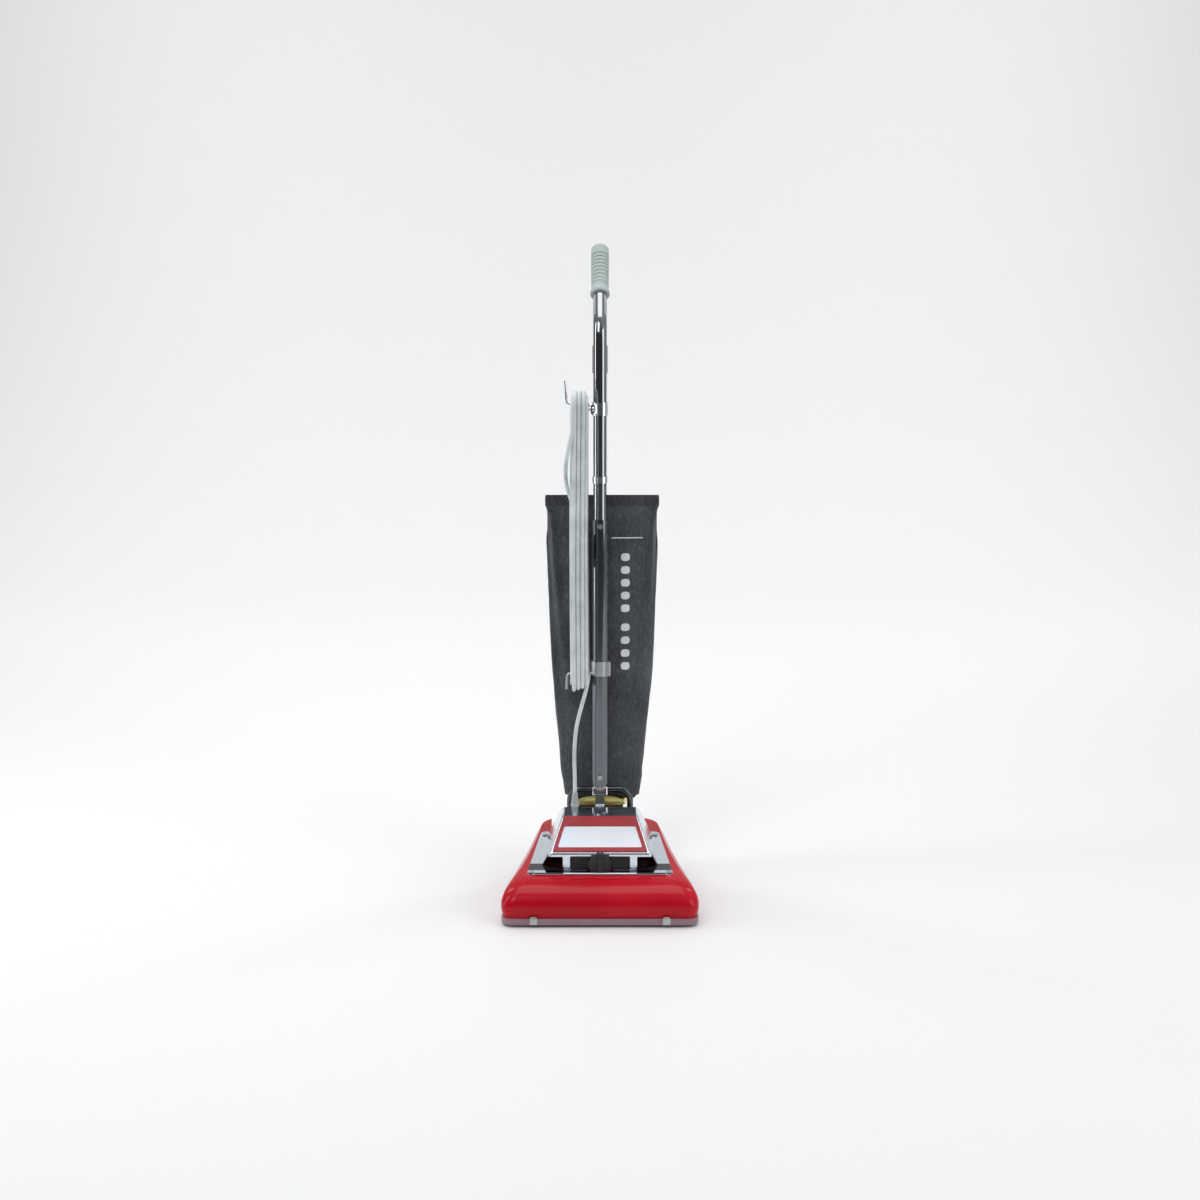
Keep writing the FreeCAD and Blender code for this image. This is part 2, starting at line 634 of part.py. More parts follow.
def make_carbon_brushes():
    block = box(12.1, 24.0, MOTOR_Y - 3.0, MOTOR_Y + 3.0, 114.5, 122.5)
    holder = box(14.0, CAN_R - 2.5, MOTOR_Y - 5.0, MOTOR_Y + 5.0, 112.5, 124.5)
    holder = holder.cut(box(12.0, 24.0, MOTOR_Y - 3.0, MOTOR_Y + 3.0, 114.5, 122.5))
    return both_sides(holder.fuse(block))


def make_fan():
    disc = motor_disc(FAN_R, 55.0, 57.0)
    hub = motor_disc(9.0, 41.0, 57.0)
    blades = [disc, hub]
    for i in range(8):
        blade = box(7.0, FAN_R - 1.0, -1.0, 1.0, 42.0, 55.5)
        blade.rotate(V(8.0, 0, 0), V(0, 0, 1), 24.0)
        blade.rotate(V(0, 0, 0), V(0, 0, 1), i * 45.0)
        blades.append(blade.translated(V(0, MOTOR_Y, 0)).common(motor_disc(FAN_R, 40.0, 58.0)))
    return fuse(blades).cut(motor_disc(SHAFT_R, 30.0, 60.0))


def make_fan_chamber_cover():
    return motor_tube(SCROLL_R, 17.0, SCROLL_Z0, SCROLL_Z0 + 2.0)


def make_shaft_pulley():
    body = motor_tube(PULLEY_R + BELT_R + 1.5, SHAFT_R, 14.5, 27.0)
    groove = motor_tube(30.0, PULLEY_R - 0.06, BELT_Z - BELT_R - 1.8, BELT_Z + BELT_R + 1.8)
    return body.cut(groove)


def make_drive_belt():
    """Round belt, quarter-turned between the upright shaft and the level brush roll."""
    turn_r = PULLEY_R + BELT_R
    brush_r = BRUSH_GROOVE_R + BELT_R
    whole = Part.makeTorus(turn_r, BELT_R, V(0, MOTOR_Y, BELT_Z), V(0, 0, 1))
    around_pulley = whole.common(box(-40, 40, MOTOR_Y, MOTOR_Y + 40.0, 0, 50.0))
    whole = Part.makeTorus(brush_r, BELT_R, V(0, BRUSH_Y, BRUSH_Z), V(1, 0, 0))
    around_brush = whole.common(box(-20, 20, BRUSH_Y - 40.0, BRUSH_Y, -10.0, 80.0))
    pieces = [around_pulley, around_brush]
    weld_r = BELT_R + 0.04       # a hair proud, so that the balls cut both runs cleanly
    for sign in (1, -1):
        start = (sign * turn_r, MOTOR_Y, BELT_Z)
        end = (0.0, BRUSH_Y, BRUSH_Z + sign * brush_r)
        pieces.append(rod(BELT_R, start, end))
        pieces.append(Part.makeSphere(weld_r, V(*start)))
        pieces.append(Part.makeSphere(weld_r, V(*end)))
    return pieces[0].multiFuse(pieces[1:])


# ---------------------------------------------------------------- brush roll
def brush_line(x0, x1, radius):
    return rod(radius, (x0, BRUSH_Y, BRUSH_Z), (x1, BRUSH_Y, BRUSH_Z))


def tuft_rows():
    """Two rows of bristle tufts that wind round the dowel, clear of the belt's groove."""
    tufts = []
    for i in range(9):
        x = MOUTH_X0 + i // 3 * MOUTH_PITCH + 9.0 + i % 3 * 12.0
        for side in (1, -1):
            for start in (0.0, 180.0):
                tuft = box(x - 4.0, x + 4.0, BRUSH_Y - 2.5, BRUSH_Y + 2.5, BRUSH_Z + 16.0,
                           BRUSH_Z + BRISTLE_R)
                if side < 0:
                    tuft = mirror_x(tuft)
                tuft.rotate(V(0, BRUSH_Y, BRUSH_Z), V(1, 0, 0), start + 90.0 + i * 9.0)
                tufts.append(tuft)
    return Part.makeCompound(tufts)


def make_brush_dowel():
    dowel = brush_line(-152.0, 152.0, BRUSH_R)
    groove = brush_line(-6.0, 6.0, 40.0).cut(brush_line(-6.0, 6.0, BRUSH_GROOVE_R - 0.5))
    return dowel.cut(groove).cut(brush_line(-160.0, 160.0, 4.0)).cut(tuft_rows())


def make_brush_shaft():
    return brush_line(-CHAMBER_HALF - 1.5, CHAMBER_HALF + 1.5, 4.0)


def make_brush_bearings():
    bearing = brush_line(156.0, CHAMBER_HALF + 2.0, 11.0).cut(brush_line(150.0, 170.0, 4.0 + SKIN))
    return both_sides(bearing)


# ---------------------------------------------------------------- under the head
def make_bottom_plate():
    nose = NOSE_Y + 7.0
    outline = symmetric([(166.0, nose, 8.0), (158.0, -119.5, 6.0), (60.0, -119.5, 0.0), (60.0, 34.0, 10.0)])
    plate = prism("z", outline, BASE_Z - 2.0, BASE_Z)
    mouths = []
    for side in (1, -1):
        for i in range(3):
            x0 = MOUTH_X0 + i * MOUTH_PITCH
            mouth = box(x0, x0 + 42.0, BRUSH_Y - 22.0, BRUSH_Y + 22.0, 0, 20.0)
            mouths.append(mouth if side > 0 else mirror_x(mouth))
    lip = box(-160.0, 160.0, BRUSH_Y + 24.0, BRUSH_Y + 27.0, BASE_Z - 4.0, BASE_Z - 2.0)
    return cut_all(plate.fuse(lip), mouths)


def guard_outline(grow):
    corners = symmetric([(178.1 + grow, NOSE_Y + 3.5 - grow, 18.0 + grow),
                         (178.1 - 0.171 * 100.0 + grow, NOSE_Y + 103.5, 0)])
    return prism("z", corners, 4.5, 16.0)


def make_furniture_guard():
    strip = guard_outline(3.0).cut(guard_outline(-3.5))
    strip = strip.cut(head_loft(0.0).common(box(-300, 300, -300, 300, BASE_Z, 60.0)))
    return strip.cut(latch_rivet_shanks())


def latch_rivet_shanks():
    return Part.makeCompound([latch_rivet(side, False) for side in (1, -1)])


def latch_rivet(side, with_head):
    """Rivet along Y through a bottom plate latch, near the nozzle's lower front edge."""
    x, z = side * LATCH_X, LATCH_Z
    shank = rod(2.5, (x, NOSE_Y - 3.2, z), (x, NOSE_Y + 9.0, z))
    if not with_head:
        return shank
    head = rod(4.2, (x, NOSE_Y - 4.8, z), (x, NOSE_Y - 3.2, z))
    return fuse([shank, head])


def make_plate_latch(side):
    x, z = side * LATCH_X, LATCH_Z
    outline = [
        (x - 7.0, z - 9.0, 3.0),
        (x + 7.0, z - 9.0, 3.0),
        (x + 7.0, z + 6.0, 5.5),
        (x - 7.0, z + 6.0, 5.5),
    ]
    plate = prism("y", outline, NOSE_Y - 3.0, NOSE_Y - 1.0)
    return plate.cut(rod(2.5 + SKIN, (x, NOSE_Y - 9.0, z), (x, NOSE_Y + 9.0, z)))


# ---------------------------------------------------------------- back of the head
def duct_outline(inset):
    """The duct's rounded rectangle seen from above, or its inside when inset by the wall."""
    half, front, back = DUCT_HALF - inset, DUCT_Y0 + inset, DUCT_Y1 - inset
    return symmetric([(half, front, 8.0 - inset), (half, back, 8.0 - inset)])


def make_exhaust_duct():
    outer = prism("z", duct_outline(0.0), DUCT_Z0, DUCT_Z1)
    return outer.cut(prism("z", duct_outline(DUCT_WALL), DUCT_Z0 - 1.0, DUCT_Z1 + 1.0))


def make_duct_collar():
    """Zinc-plated band round the duct's mouth that the bag's neck slips over."""
    half, front, back = DUCT_HALF + 6.4, DUCT_Y0 - 1.5, DUCT_Y1 + 2.0
    outer = prism("z", symmetric([(half, front, 14.0), (half, back, 14.0)]), COLLAR_Z0, COLLAR_Z1)
    seat = prism("z", duct_outline(0.0), COLLAR_Z0 - 1.0, DUCT_Z1)
    mouth = prism("z", duct_outline(DUCT_WALL), COLLAR_Z0, COLLAR_Z1 + 1.0)
    return outer.cut(seat).cut(mouth)


def make_handle_strap():
    """Spring strap that stands up behind the hood and steadies the upright handle."""
    foot = box(-8.5, 8.5, 56.0, 58.0, DUCT_Z0, 78.0)
    blade = prism("x", [(56.0, 76.0, 0), (58.0, 76.0, 0), (58.0, 150.0, 10.0), (62.0, 164.0, 0),
                        (60.0, 164.6, 0), (56.0, 150.0, 10.0)], -8.5, 8.5)
    return foot.fuse(blade)


def make_release_pedal():
    hub = rod(7.0, (-93.0, PEDAL_Y, PEDAL_Z), (-71.0, PEDAL_Y, PEDAL_Z))
    side = [
        (PEDAL_Y - 4.0, PEDAL_Z - 4.0, 0),
        (PEDAL_Y + 16.0, PEDAL_Z - 2.0, 3.0),
        (PEDAL_Y + 52.0, PEDAL_Z + 6.0, 2.0),
        (PEDAL_Y + 52.0, PEDAL_Z + 11.0, 2.0),
        (PEDAL_Y + 14.0, PEDAL_Z + 5.0, 4.0),
        (PEDAL_Y - 4.0, PEDAL_Z + 5.0, 0),
    ]
    lever = prism("x", side, -93.0, -71.0)
    pedal = fuse([hub, lever])
    return pedal.cut(rod(3.0 + SKIN, (-120.0, PEDAL_Y, PEDAL_Z), (-60.0, PEDAL_Y, PEDAL_Z)))


def relief_hole():
    return rod(RELIEF_HOLE_R, (RELIEF_X, RELIEF_Y, 120.0), (RELIEF_X, RELIEF_Y, 160.0))


def make_strain_relief():
    stem = rod(RELIEF_HOLE_R, (RELIEF_X, RELIEF_Y, 136.0), (RELIEF_X, RELIEF_Y, 154.0))
    collar = rod(8.5, (RELIEF_X, RELIEF_Y, 153.5), (RELIEF_X, RELIEF_Y, 156.0))
    taper = cone(7.2, 5.0, (RELIEF_X, RELIEF_Y, 156.0), (RELIEF_X, RELIEF_Y, RELIEF_TOP_Z))
    return fuse([stem, collar, taper])


# ---------------------------------------------------------------- handle
def upright(radius, low, high):
    """A rod on the handle's own line."""
    return rod(radius, (0, PIVOT_Y, low), (0, PIVOT_Y, high))


def upright_ring(outer, inner, low, high):
    return ring(outer, inner, (0, PIVOT_Y, low), (0, PIVOT_Y, high))


def make_bail():
    path = [
        (ARM_X, PIVOT_Y, PIVOT_Z),
        (ARM_X, PIVOT_Y, CROWN_Z),
        (-ARM_X, PIVOT_Y, CROWN_Z),
        (-ARM_X, PIVOT_Y, PIVOT_Z),
    ]
    rods = bent_rod(path, [22.0, 22.0], BAIL_R)
    eye = rod(9.0, (ARM_X - 6.0, PIVOT_Y, PIVOT_Z), (ARM_X + 6.0, PIVOT_Y, PIVOT_Z))
    bail = fuse([rods, eye, mirror_x(eye)])
    return bail.cut(rod(5.0 + SKIN, (-90.0, PIVOT_Y, PIVOT_Z), (90.0, PIVOT_Y, PIVOT_Z)))


def make_handle_socket():
    """Clamp on the bail's crown with a cup for the lower tube."""
    block = box(-15.0, 15.0, PIVOT_Y - 11.0, PIVOT_Y + 11.0, CROWN_Z - 8.5, LOWER_TUBE_Z0)
    block = block.makeFillet(4.0, [e for e in block.Edges if e.BoundBox.ZLength > 10])
    stem = upright(LOWER_TUBE_R - TUBE_WALL, LOWER_TUBE_Z0 - 1.0, LOWER_TUBE_Z0 + 45.0)
    bolt = rod(5.0, (0, PIVOT_Y - 15.0, CROWN_Z + 1.0), (0, PIVOT_Y - 11.0, CROWN_Z + 1.0))
    socket = fuse([block, stem, bolt])
    socket = socket.cut(rod(BAIL_R, (-40.0, PIVOT_Y, CROWN_Z), (40.0, PIVOT_Y, CROWN_Z)))
    return socket.cut(tube_screw_shanks())


def make_lower_tube():
    tube = upright_ring(LOWER_TUBE_R, LOWER_TUBE_R - TUBE_WALL, LOWER_TUBE_Z0, LOWER_TUBE_Z1)
    sleeve = upright_ring(LOWER_TUBE_R, UPPER_TUBE_R, LOWER_TUBE_Z1 - 30.0, LOWER_TUBE_Z1)
    return tube.fuse(sleeve).removeSplitter().cut(tube_screw_shanks())


def lean_point(distance):
    return (0, PIVOT_Y + distance * math.sin(LEAN), BEND_Z + distance * math.cos(LEAN))


def make_upper_tube():
    path = [(0, PIVOT_Y, LOWER_TUBE_Z1 - 60.0), (0, PIVOT_Y, BEND_Z), lean_point(LEAN_LENGTH - 12.0)]
    outer = bent_rod(path, [70.0], UPPER_TUBE_R)
    inner = bent_rod(path, [70.0], UPPER_TUBE_R - TUBE_WALL)
    return outer.cut(inner).cut(tube_screw_shanks())


def make_grip():
    start, end = V(*lean_point(LEAN_LENGTH - GRIP_LENGTH)), V(*lean_point(LEAN_LENGTH))
    length = GRIP_LENGTH
    profile = [(0, 0, 0), (GRIP_R + 1.4, 0, 1.5), (GRIP_R + 1.4, 7, 2.0), (GRIP_R - 0.8, 12, 4.0),
               (GRIP_R, length * 0.5, 40.0), (GRIP_R, length, 9.0), (0, length, 0)]
    face = Part.Face(rounded_wire(profile, lambda u, v: V(u, 0, v)))
    form = face.revolve(V(0, 0, 0), V(0, 0, 1), 360)
    bore = Part.makeCylinder(UPPER_TUBE_R, length - 12.0)
    rings = []
    for i in range(9):
        z = 22.0 + i * 8.5
        rings.append(ring(GRIP_R + 9.0, GRIP_R - 1.3, (0, 0, z), (0, 0, z + 2.6)))
    form = cut_all(form.cut(bore), rings)
    form.Placement = FreeCAD.Placement(start, FreeCAD.Rotation(V(0, 0, 1), end - start))
    return form


def tube_screw_shanks():
    shanks = [rod(2.5, (0, PIVOT_Y - 30.0, z), (0, PIVOT_Y, z)) for z in (HIGH_SCREW_Z, LOW_SCREW_Z)]
    return Part.makeCompound(shanks)


def make_tube_screws():
    screws = []
    depths = ((HIGH_SCREW_Z, UPPER_TUBE_R - 6.0), (LOW_SCREW_Z, LOWER_TUBE_R - 8.0))
    for z, depth in depths:
        face_y = PIVOT_Y - LOWER_TUBE_R - 0.4
        shank = rod(2.5, (0, face_y - 0.5, z), (0, PIVOT_Y - depth, z))
        head = rod(4.8, (0, face_y - 2.8, z), (0, face_y, z))
        slot = box(-0.6, 0.6, face_y - 4.0, face_y - 1.4, z - 4.4, z + 4.4)
        screws.append(fuse([shank, head]).cut(slot))
    return Part.makeCompound(screws)


def make_switch_housing():
    z0, z1 = SWITCH_Z - 25.0, SWITCH_Z + 25.0
    back = PIVOT_Y + UPPER_TUBE_R
    body = box(-14.0, 14.0, PIVOT_Y, back + 17.0, z0, z1)
    body = body.makeFillet(4.0, [e for e in body.Edges if e.BoundBox.YMin > PIVOT_Y + 1.0])
    body = body.cut(rod(UPPER_TUBE_R, (0, PIVOT_Y, z0 - 5), (0, PIVOT_Y, z1 + 5)))
    body = body.cut(box(-20, 20, PIVOT_Y - 1.0, PIVOT_Y + 5.0, z0 - 5, z1 + 5))
    return body.cut(box(-7.0, 7.0, back + 6.0, back + 30.0, SWITCH_Z - 14.0, SWITCH_Z + 14.0))


def make_switch_rocker():
    back = PIVOT_Y + UPPER_TUBE_R + 17.0
    side = [
        (back - 8.0, SWITCH_Z - 6.0, 2.0),
        (back - 8.0, SWITCH_Z + 6.0, 2.0),
        (back - 2.0, SWITCH_Z + 12.0, 1.0),
        (back + 1.0, SWITCH_Z + 12.0, 1.0),
        (back + 0.5, SWITCH_Z, 0),
        (back + 1.0, SWITCH_Z - 12.0, 1.0),
        (back - 2.0, SWITCH_Z - 12.0, 1.0),
    ]
    rocker = prism("x", side, -6.3, 6.3)
    # rests tipped to OFF; tipping it by the switch's throw mirrors it to ON
    rocker.rotate(V(0, back - 5.0, SWITCH_Z), V(1, 0, 0), ROCKER_TIP)
    return rocker


# ---------------------------------------------------------------- cord hooks
def make_upper_hook_bracket():
    clamp = upright_ring(UPPER_TUBE_R + 2.4, UPPER_TUBE_R, WIND_TOP_Z - 12.0, WIND_TOP_Z + 12.0)
    ear = box(-17.0, -14.0, WIND_Y - 8.0, PIVOT_Y - 4.0, WIND_TOP_Z - 8.0, WIND_TOP_Z + 8.0)
    web = box(-17.0, -9.0, PIVOT_Y - 8.0, PIVOT_Y - 2.0, WIND_TOP_Z - 8.0, WIND_TOP_Z + 8.0)
    web = web.cut(rod(UPPER_TUBE_R, (0, PIVOT_Y, WIND_TOP_Z - 20), (0, PIVOT_Y, WIND_TOP_Z + 20)))
    bracket = fuse([clamp, ear, web])
    return bracket.cut(rod(4.0 + SKIN, (-30.0, WIND_Y, WIND_TOP_Z), (-10.0, WIND_Y, WIND_TOP_Z)))


def make_cord_hook_upper():
    journal = rod(4.0, (-20.5, WIND_Y, WIND_TOP_Z), (-11.0, WIND_Y, WIND_TOP_Z))
    x0 = -20.5
    z = WIND_TOP_Z
    arm = bent_rod([(x0, WIND_Y, z), (x0, WIND_Y, z + 10.0), (WIND_X0 - 5.0, WIND_Y, z + 10.0),
                    (WIND_X0 - 8.0, WIND_Y, z + 53.0)], [4.0, 6.0], 2.4)
    return fuse([journal, arm])


def make_cord_hook_lower():
    z = WIND_LOW_Z
    clamp = ring(LOWER_TUBE_R + 1.9, LOWER_TUBE_R, (0, PIVOT_Y, z - 16.0), (0, PIVOT_Y, z + 12.0))
    pad = box(6.0, 20.0, PIVOT_Y - 15.0, PIVOT_Y - 2.0, z - 16.0, z + 12.0)
    pad = pad.cut(rod(LOWER_TUBE_R, (0, PIVOT_Y, z - 20), (0, PIVOT_Y, z + 20)))
    pad = pad.makeFillet(3.0, [e for e in pad.Edges if e.BoundBox.XMin > 19.5])
    path = [
        (-9.0, PIVOT_Y - 12.0, z - 9.0),
        (-12.0, WIND_Y, z - 9.0),
        (WIND_X0 - 5.0, WIND_Y, z - 10.0),
        (WIND_X0 - 6.5, WIND_Y - 1.0, z - 40.0),
    ]
    stem = bent_rod(path, [5.0, 6.0], 2.4)
    hook = fuse([clamp, pad, stem])
    return hook.cut(rod(LOWER_TUBE_R, (0, PIVOT_Y, z - 30), (0, PIVOT_Y, z + 30)))


# ---------------------------------------------------------------- bag
def bag_levels(inset):
    """Closed outlines of the bag from its bottom to its flat top seam."""
    # height, half-width, front y, back y
    levels = [
        (BAG_Z0, 80.0, 98.0, 130.0),
        (270.0, 90.0, 96.0, 146.0),
        (400.0, 98.0, 95.0, 164.0),
        (540.0, 104.0, 95.5, 166.0),
        (660.0, 107.0, 98.0, 148.0),
        (BAG_Z1, 107.5, 105.0, 119.0),
    ]
    wires = []
    for i, (z, half, y0, y1) in enumerate(levels):
        if inset and i == 0:
            z += inset
        if inset and i == len(levels) - 1:
            z -= inset
        radius = min(22.0, (y1 - y0) * 0.42) - inset
        outline = symmetric([(half - inset, y0 + inset, radius), (half - inset, y1 - inset, radius)])
        wires.append(rounded_wire(outline, lambda u, v, z=z: V(u + BAG_X, v, z)))
    return Part.makeLoft(wires, True, False)


def make_bag():
    return bag_levels(0.0).cut(bag_levels(BAG_CLOTH))


def make_bag_neck():
    """Sleeve that gathers from the bag's bottom down behind the duct collar."""
    outline = [
        (116.0, 141.0, 3.0),
        (134.0, 141.0, 6.0),
        (132.0, 175.0, 6.0),
        (98.0, 175.0, 8.0),
        (80.0, 166.0, 3.0),
        (80.0, 157.0, 3.0),
        (116.0, 157.0, 0),
    ]
    return prism("x", outline, BAG_X - 76.0, BAG_X + 76.0)


def make_bag_hanger():
    """Tension spring, drawn as a close-wound body with a ring at each end, and its tube bracket."""
    z = BAG_Z1 + 34.0
    clamp = ring(UPPER_TUBE_R + 2.0, UPPER_TUBE_R, (0, PIVOT_Y, z - 6.0), (0, PIVOT_Y, z + 6.0))
    tab = box(-1.5, 1.5, PIVOT_Y + UPPER_TUBE_R + 1.0, PIVOT_Y + 34.0, z - 5.0, z + 5.0)
    coils = [clamp, tab]
    for i in range(9):
        coils.append(Part.makeTorus(4.2, 1.3, V(0, PIVOT_Y + 38.0, z + 2.0 - i * 2.3), V(0, 0, 1)))
    coils.append(box(-1.3, 1.3, PIVOT_Y + 33.0, PIVOT_Y + 43.0, z - 28.5, z - 15.5))
    return fuse(coils)


# ---------------------------------------------------------------- cord
def make_cord_winding():
    """Outer form of the cord wound between the two hooks: a racetrack, open in the middle."""
    def track(radius):
        low, high = WIND_LOW_Z - radius, WIND_TOP_Z + radius
        places = ((-radius, low), (radius, low), (radius, high), (-radius, high))
        corners = [(WIND_Y + across, z, radius * 0.999) for across, z in places]
        return prism("x", corners, WIND_X0, WIND_X1)
    return track(WIND_OUT).cut(track(WIND_IN))


LEAD_ROUTE = [
    (-48.0, 38.0, 180.0), (-48.0, 38.0, 208.0), (-49.5, 40.5, 254.0), (-46.0, 42.5, 305.0),
    (-36.0, 41.0, 345.0), (-27.0, 36.0, 381.0),
]
TAIL_ROUTE = [
    (-50.0, 17.0, 872.0), (-56.5, 15.0, 846.0), (-63.5, 20.5, 812.0), (-64.0, 34.0, 775.0),
    (-54.0, 46.5, 740.0), (-40.0, 52.0, 705.0), (-40.0, 52.0, 670.0),
]


def make_plug():
    """Moulded plug, hanging between the winding's legs, with two blades and an earth pin."""
    x, y, z = TAIL_ROUTE[-1]
    body = prism("x", [(y - 10.0, z - 44.0, 2.0), (y + 10.0, z - 44.0, 2.0), (y + 10.0, z - 20.0, 8.0),
                       (y + 5.5, z, 2.0), (y - 5.5, z, 2.0), (y - 10.0, z - 20.0, 8.0)], x - 12.0, x + 12.0)
    body = body.makeFillet(2.5, [e for e in body.Edges if e.BoundBox.XLength < 0.01 and e.Length > 12])
    blades = [box(x + dx - 0.8, x + dx + 0.8, y - 3.2, y + 3.2, z - 61.0, z - 43.0) for dx in (-6.3, 6.3)]
    earth = rod(2.4, (x, y + 6.0, z - 43.0), (x, y + 6.0, z - 63.0))
    return fuse([body, *blades, earth])


NODES = {
    "base_housing": make_base_housing,
    "rear_housing": make_rear_housing,
    "bottom_plate": make_bottom_plate,
    "furniture_guard": make_furniture_guard,
    "plate_latch_left": lambda: make_plate_latch(-1),
    "plate_latch_right": lambda: make_plate_latch(1),
    "hood": make_hood,
    "label_frame": make_label_frame,
    "label_panel": make_label_panel,
    "hood_grille": make_hood_grille,
    "head_fasteners": make_head_fasteners,
    "height_knob": make_height_knob,
    "height_cam": make_height_cam,
    "wheel_carriage": make_wheel_carriage,
    "front_wheel_left": lambda: make_front_wheel(-1),
    "front_wheel_right": lambda: make_front_wheel(1),
    "rear_axle": rear_axle,
    "rear_wheel_left": lambda: make_rear_wheel(-1),
    "rear_wheel_right": lambda: make_rear_wheel(1),
    "axle_push_nuts": make_axle_push_nuts,
    "motor_can": make_motor_can,
    "field_stator": make_field_stator,
    "motor_bearings": make_motor_bearings,
    "motor_shaft": make_motor_shaft,
    "armature": make_armature,
    "commutator": make_commutator,
    "carbon_brushes": make_carbon_brushes,
    "fan": make_fan,
    "fan_chamber_cover": make_fan_chamber_cover,
    "shaft_pulley": make_shaft_pulley,
    "drive_belt": make_drive_belt,
    "brush_dowel": make_brush_dowel,
    "brush_bristles": tuft_rows,
    "brush_shaft": make_brush_shaft,
    "brush_bearings": make_brush_bearings,
    "exhaust_duct": make_exhaust_duct,
    "duct_collar": make_duct_collar,
    "handle_strap": make_handle_strap,
    "release_pedal": make_release_pedal,
    "pedal_pin": pedal_pin,
    "strain_relief": make_strain_relief,
    "handle_pivot_pins": handle_pivot_pins,
    "bail": make_bail,
    "handle_socket": make_handle_socket,
    "lower_tube": make_lower_tube,
    "upper_tube": make_upper_tube,
    "grip": make_grip,
    "tube_screws": make_tube_screws,
    "switch_housing": make_switch_housing,
    "switch_rocker": make_switch_rocker,
    "upper_hook_bracket": make_upper_hook_bracket,
    "cord_hook_upper": make_cord_hook_upper,
    "cord_hook_lower": make_cord_hook_lower,
    "bag": make_bag,
    "bag_neck": make_bag_neck,
    "bag_hanger": make_bag_hanger,
    "cord_lead": lambda: cord_tube("cord_lead", LEAD_ROUTE),
    "cord_winding": make_cord_winding,
    "cord_tail": lambda: cord_tube("cord_tail", TAIL_ROUTE),
    "plug": make_plug,
}


def main():
    os.makedirs("parts", exist_ok=True)
    whole = FreeCAD.BoundBox()
    for name, make in NODES.items():
        shape = make()
        shape.exportStep(f"parts/{name}.step")
        box_of = shape.BoundBox
        whole.add(box_of)
        print(name, "valid" if shape.isValid() else "NOT VALID", len(shape.Solids), "solids",
              round(shape.Volume / 1000.0, 2), "cm3")
    print(len(NODES), "nodes", whole)


main()
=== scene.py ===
import math
import bmesh
import bpy
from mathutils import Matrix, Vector, noise


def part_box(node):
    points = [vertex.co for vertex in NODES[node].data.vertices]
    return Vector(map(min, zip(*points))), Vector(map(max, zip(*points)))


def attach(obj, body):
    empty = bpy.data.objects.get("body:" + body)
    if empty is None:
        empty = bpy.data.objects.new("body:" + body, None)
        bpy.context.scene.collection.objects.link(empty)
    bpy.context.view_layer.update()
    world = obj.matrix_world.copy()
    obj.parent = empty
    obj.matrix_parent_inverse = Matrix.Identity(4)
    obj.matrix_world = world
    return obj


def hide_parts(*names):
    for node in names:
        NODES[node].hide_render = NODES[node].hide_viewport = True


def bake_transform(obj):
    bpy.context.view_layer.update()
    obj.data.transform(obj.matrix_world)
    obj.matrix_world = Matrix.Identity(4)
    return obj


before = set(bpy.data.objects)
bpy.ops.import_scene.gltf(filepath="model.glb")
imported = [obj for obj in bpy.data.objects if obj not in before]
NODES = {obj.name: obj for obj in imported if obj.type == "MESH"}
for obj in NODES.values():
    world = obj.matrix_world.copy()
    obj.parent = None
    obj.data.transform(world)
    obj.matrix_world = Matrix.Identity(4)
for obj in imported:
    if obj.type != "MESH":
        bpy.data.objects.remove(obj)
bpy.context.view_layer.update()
SCENE = bpy.context.scene


# ---------------------------------------------------------------- camera and stage
CAMERA_AT = Vector((0.0, -3.025, 1.1))
LOOK_AT = Vector((0.0, -0.025, 0.60))
LENS_MM = 49.74
SENSOR_MM = 36.0
FRAME_SHIFT = -0.0158                        # the picture sits a little off the lens's middle
WORLD_BRIGHT_SIDE = (0.30, 0.62, 0.72)      # up and behind the machine, a little to the right
WORLD_DARK = 0.12
WORLD_BRIGHT = (0.84, 0.86, 0.90)
WORLD_STRENGTH = 0.62
WORLD_SEEN = 1.25                            # the plain pale wall behind the floor's edges
FLOOR_REACH = 9.0
FLOOR_GAP = 0.0005                           # the floor lies this far under the machine
CURVE_Y, CURVE_RADIUS, CURVE_STEPS = 3.0, 2.5, 12
WALL_TOP = 8.0


def make_camera():
    """A long lens at chest height, looking a little down at the machine's front."""
    data = bpy.data.cameras.new("camera")
    data.lens = LENS_MM
    data.sensor_width = SENSOR_MM
    data.shift_y = FRAME_SHIFT
    camera = bpy.data.objects.new("camera", data)
    camera.location = CAMERA_AT
    camera.rotation_euler = (LOOK_AT - CAMERA_AT).to_track_quat("-Z", "Y").to_euler()
    SCENE.collection.objects.link(camera)
    SCENE.camera = camera


def area_light(name, place, target, size, power):
    """A soft box at place that points at target."""
    data = bpy.data.lights.new(name, "AREA")
    data.shape = "RECTANGLE"
    data.size, data.size_y = size
    data.energy = power
    lamp = bpy.data.objects.new(name, data)
    lamp.location = place
    lamp.rotation_euler = (Vector(target) - Vector(place)).to_track_quat("-Z", "Y").to_euler()
    SCENE.collection.objects.link(lamp)


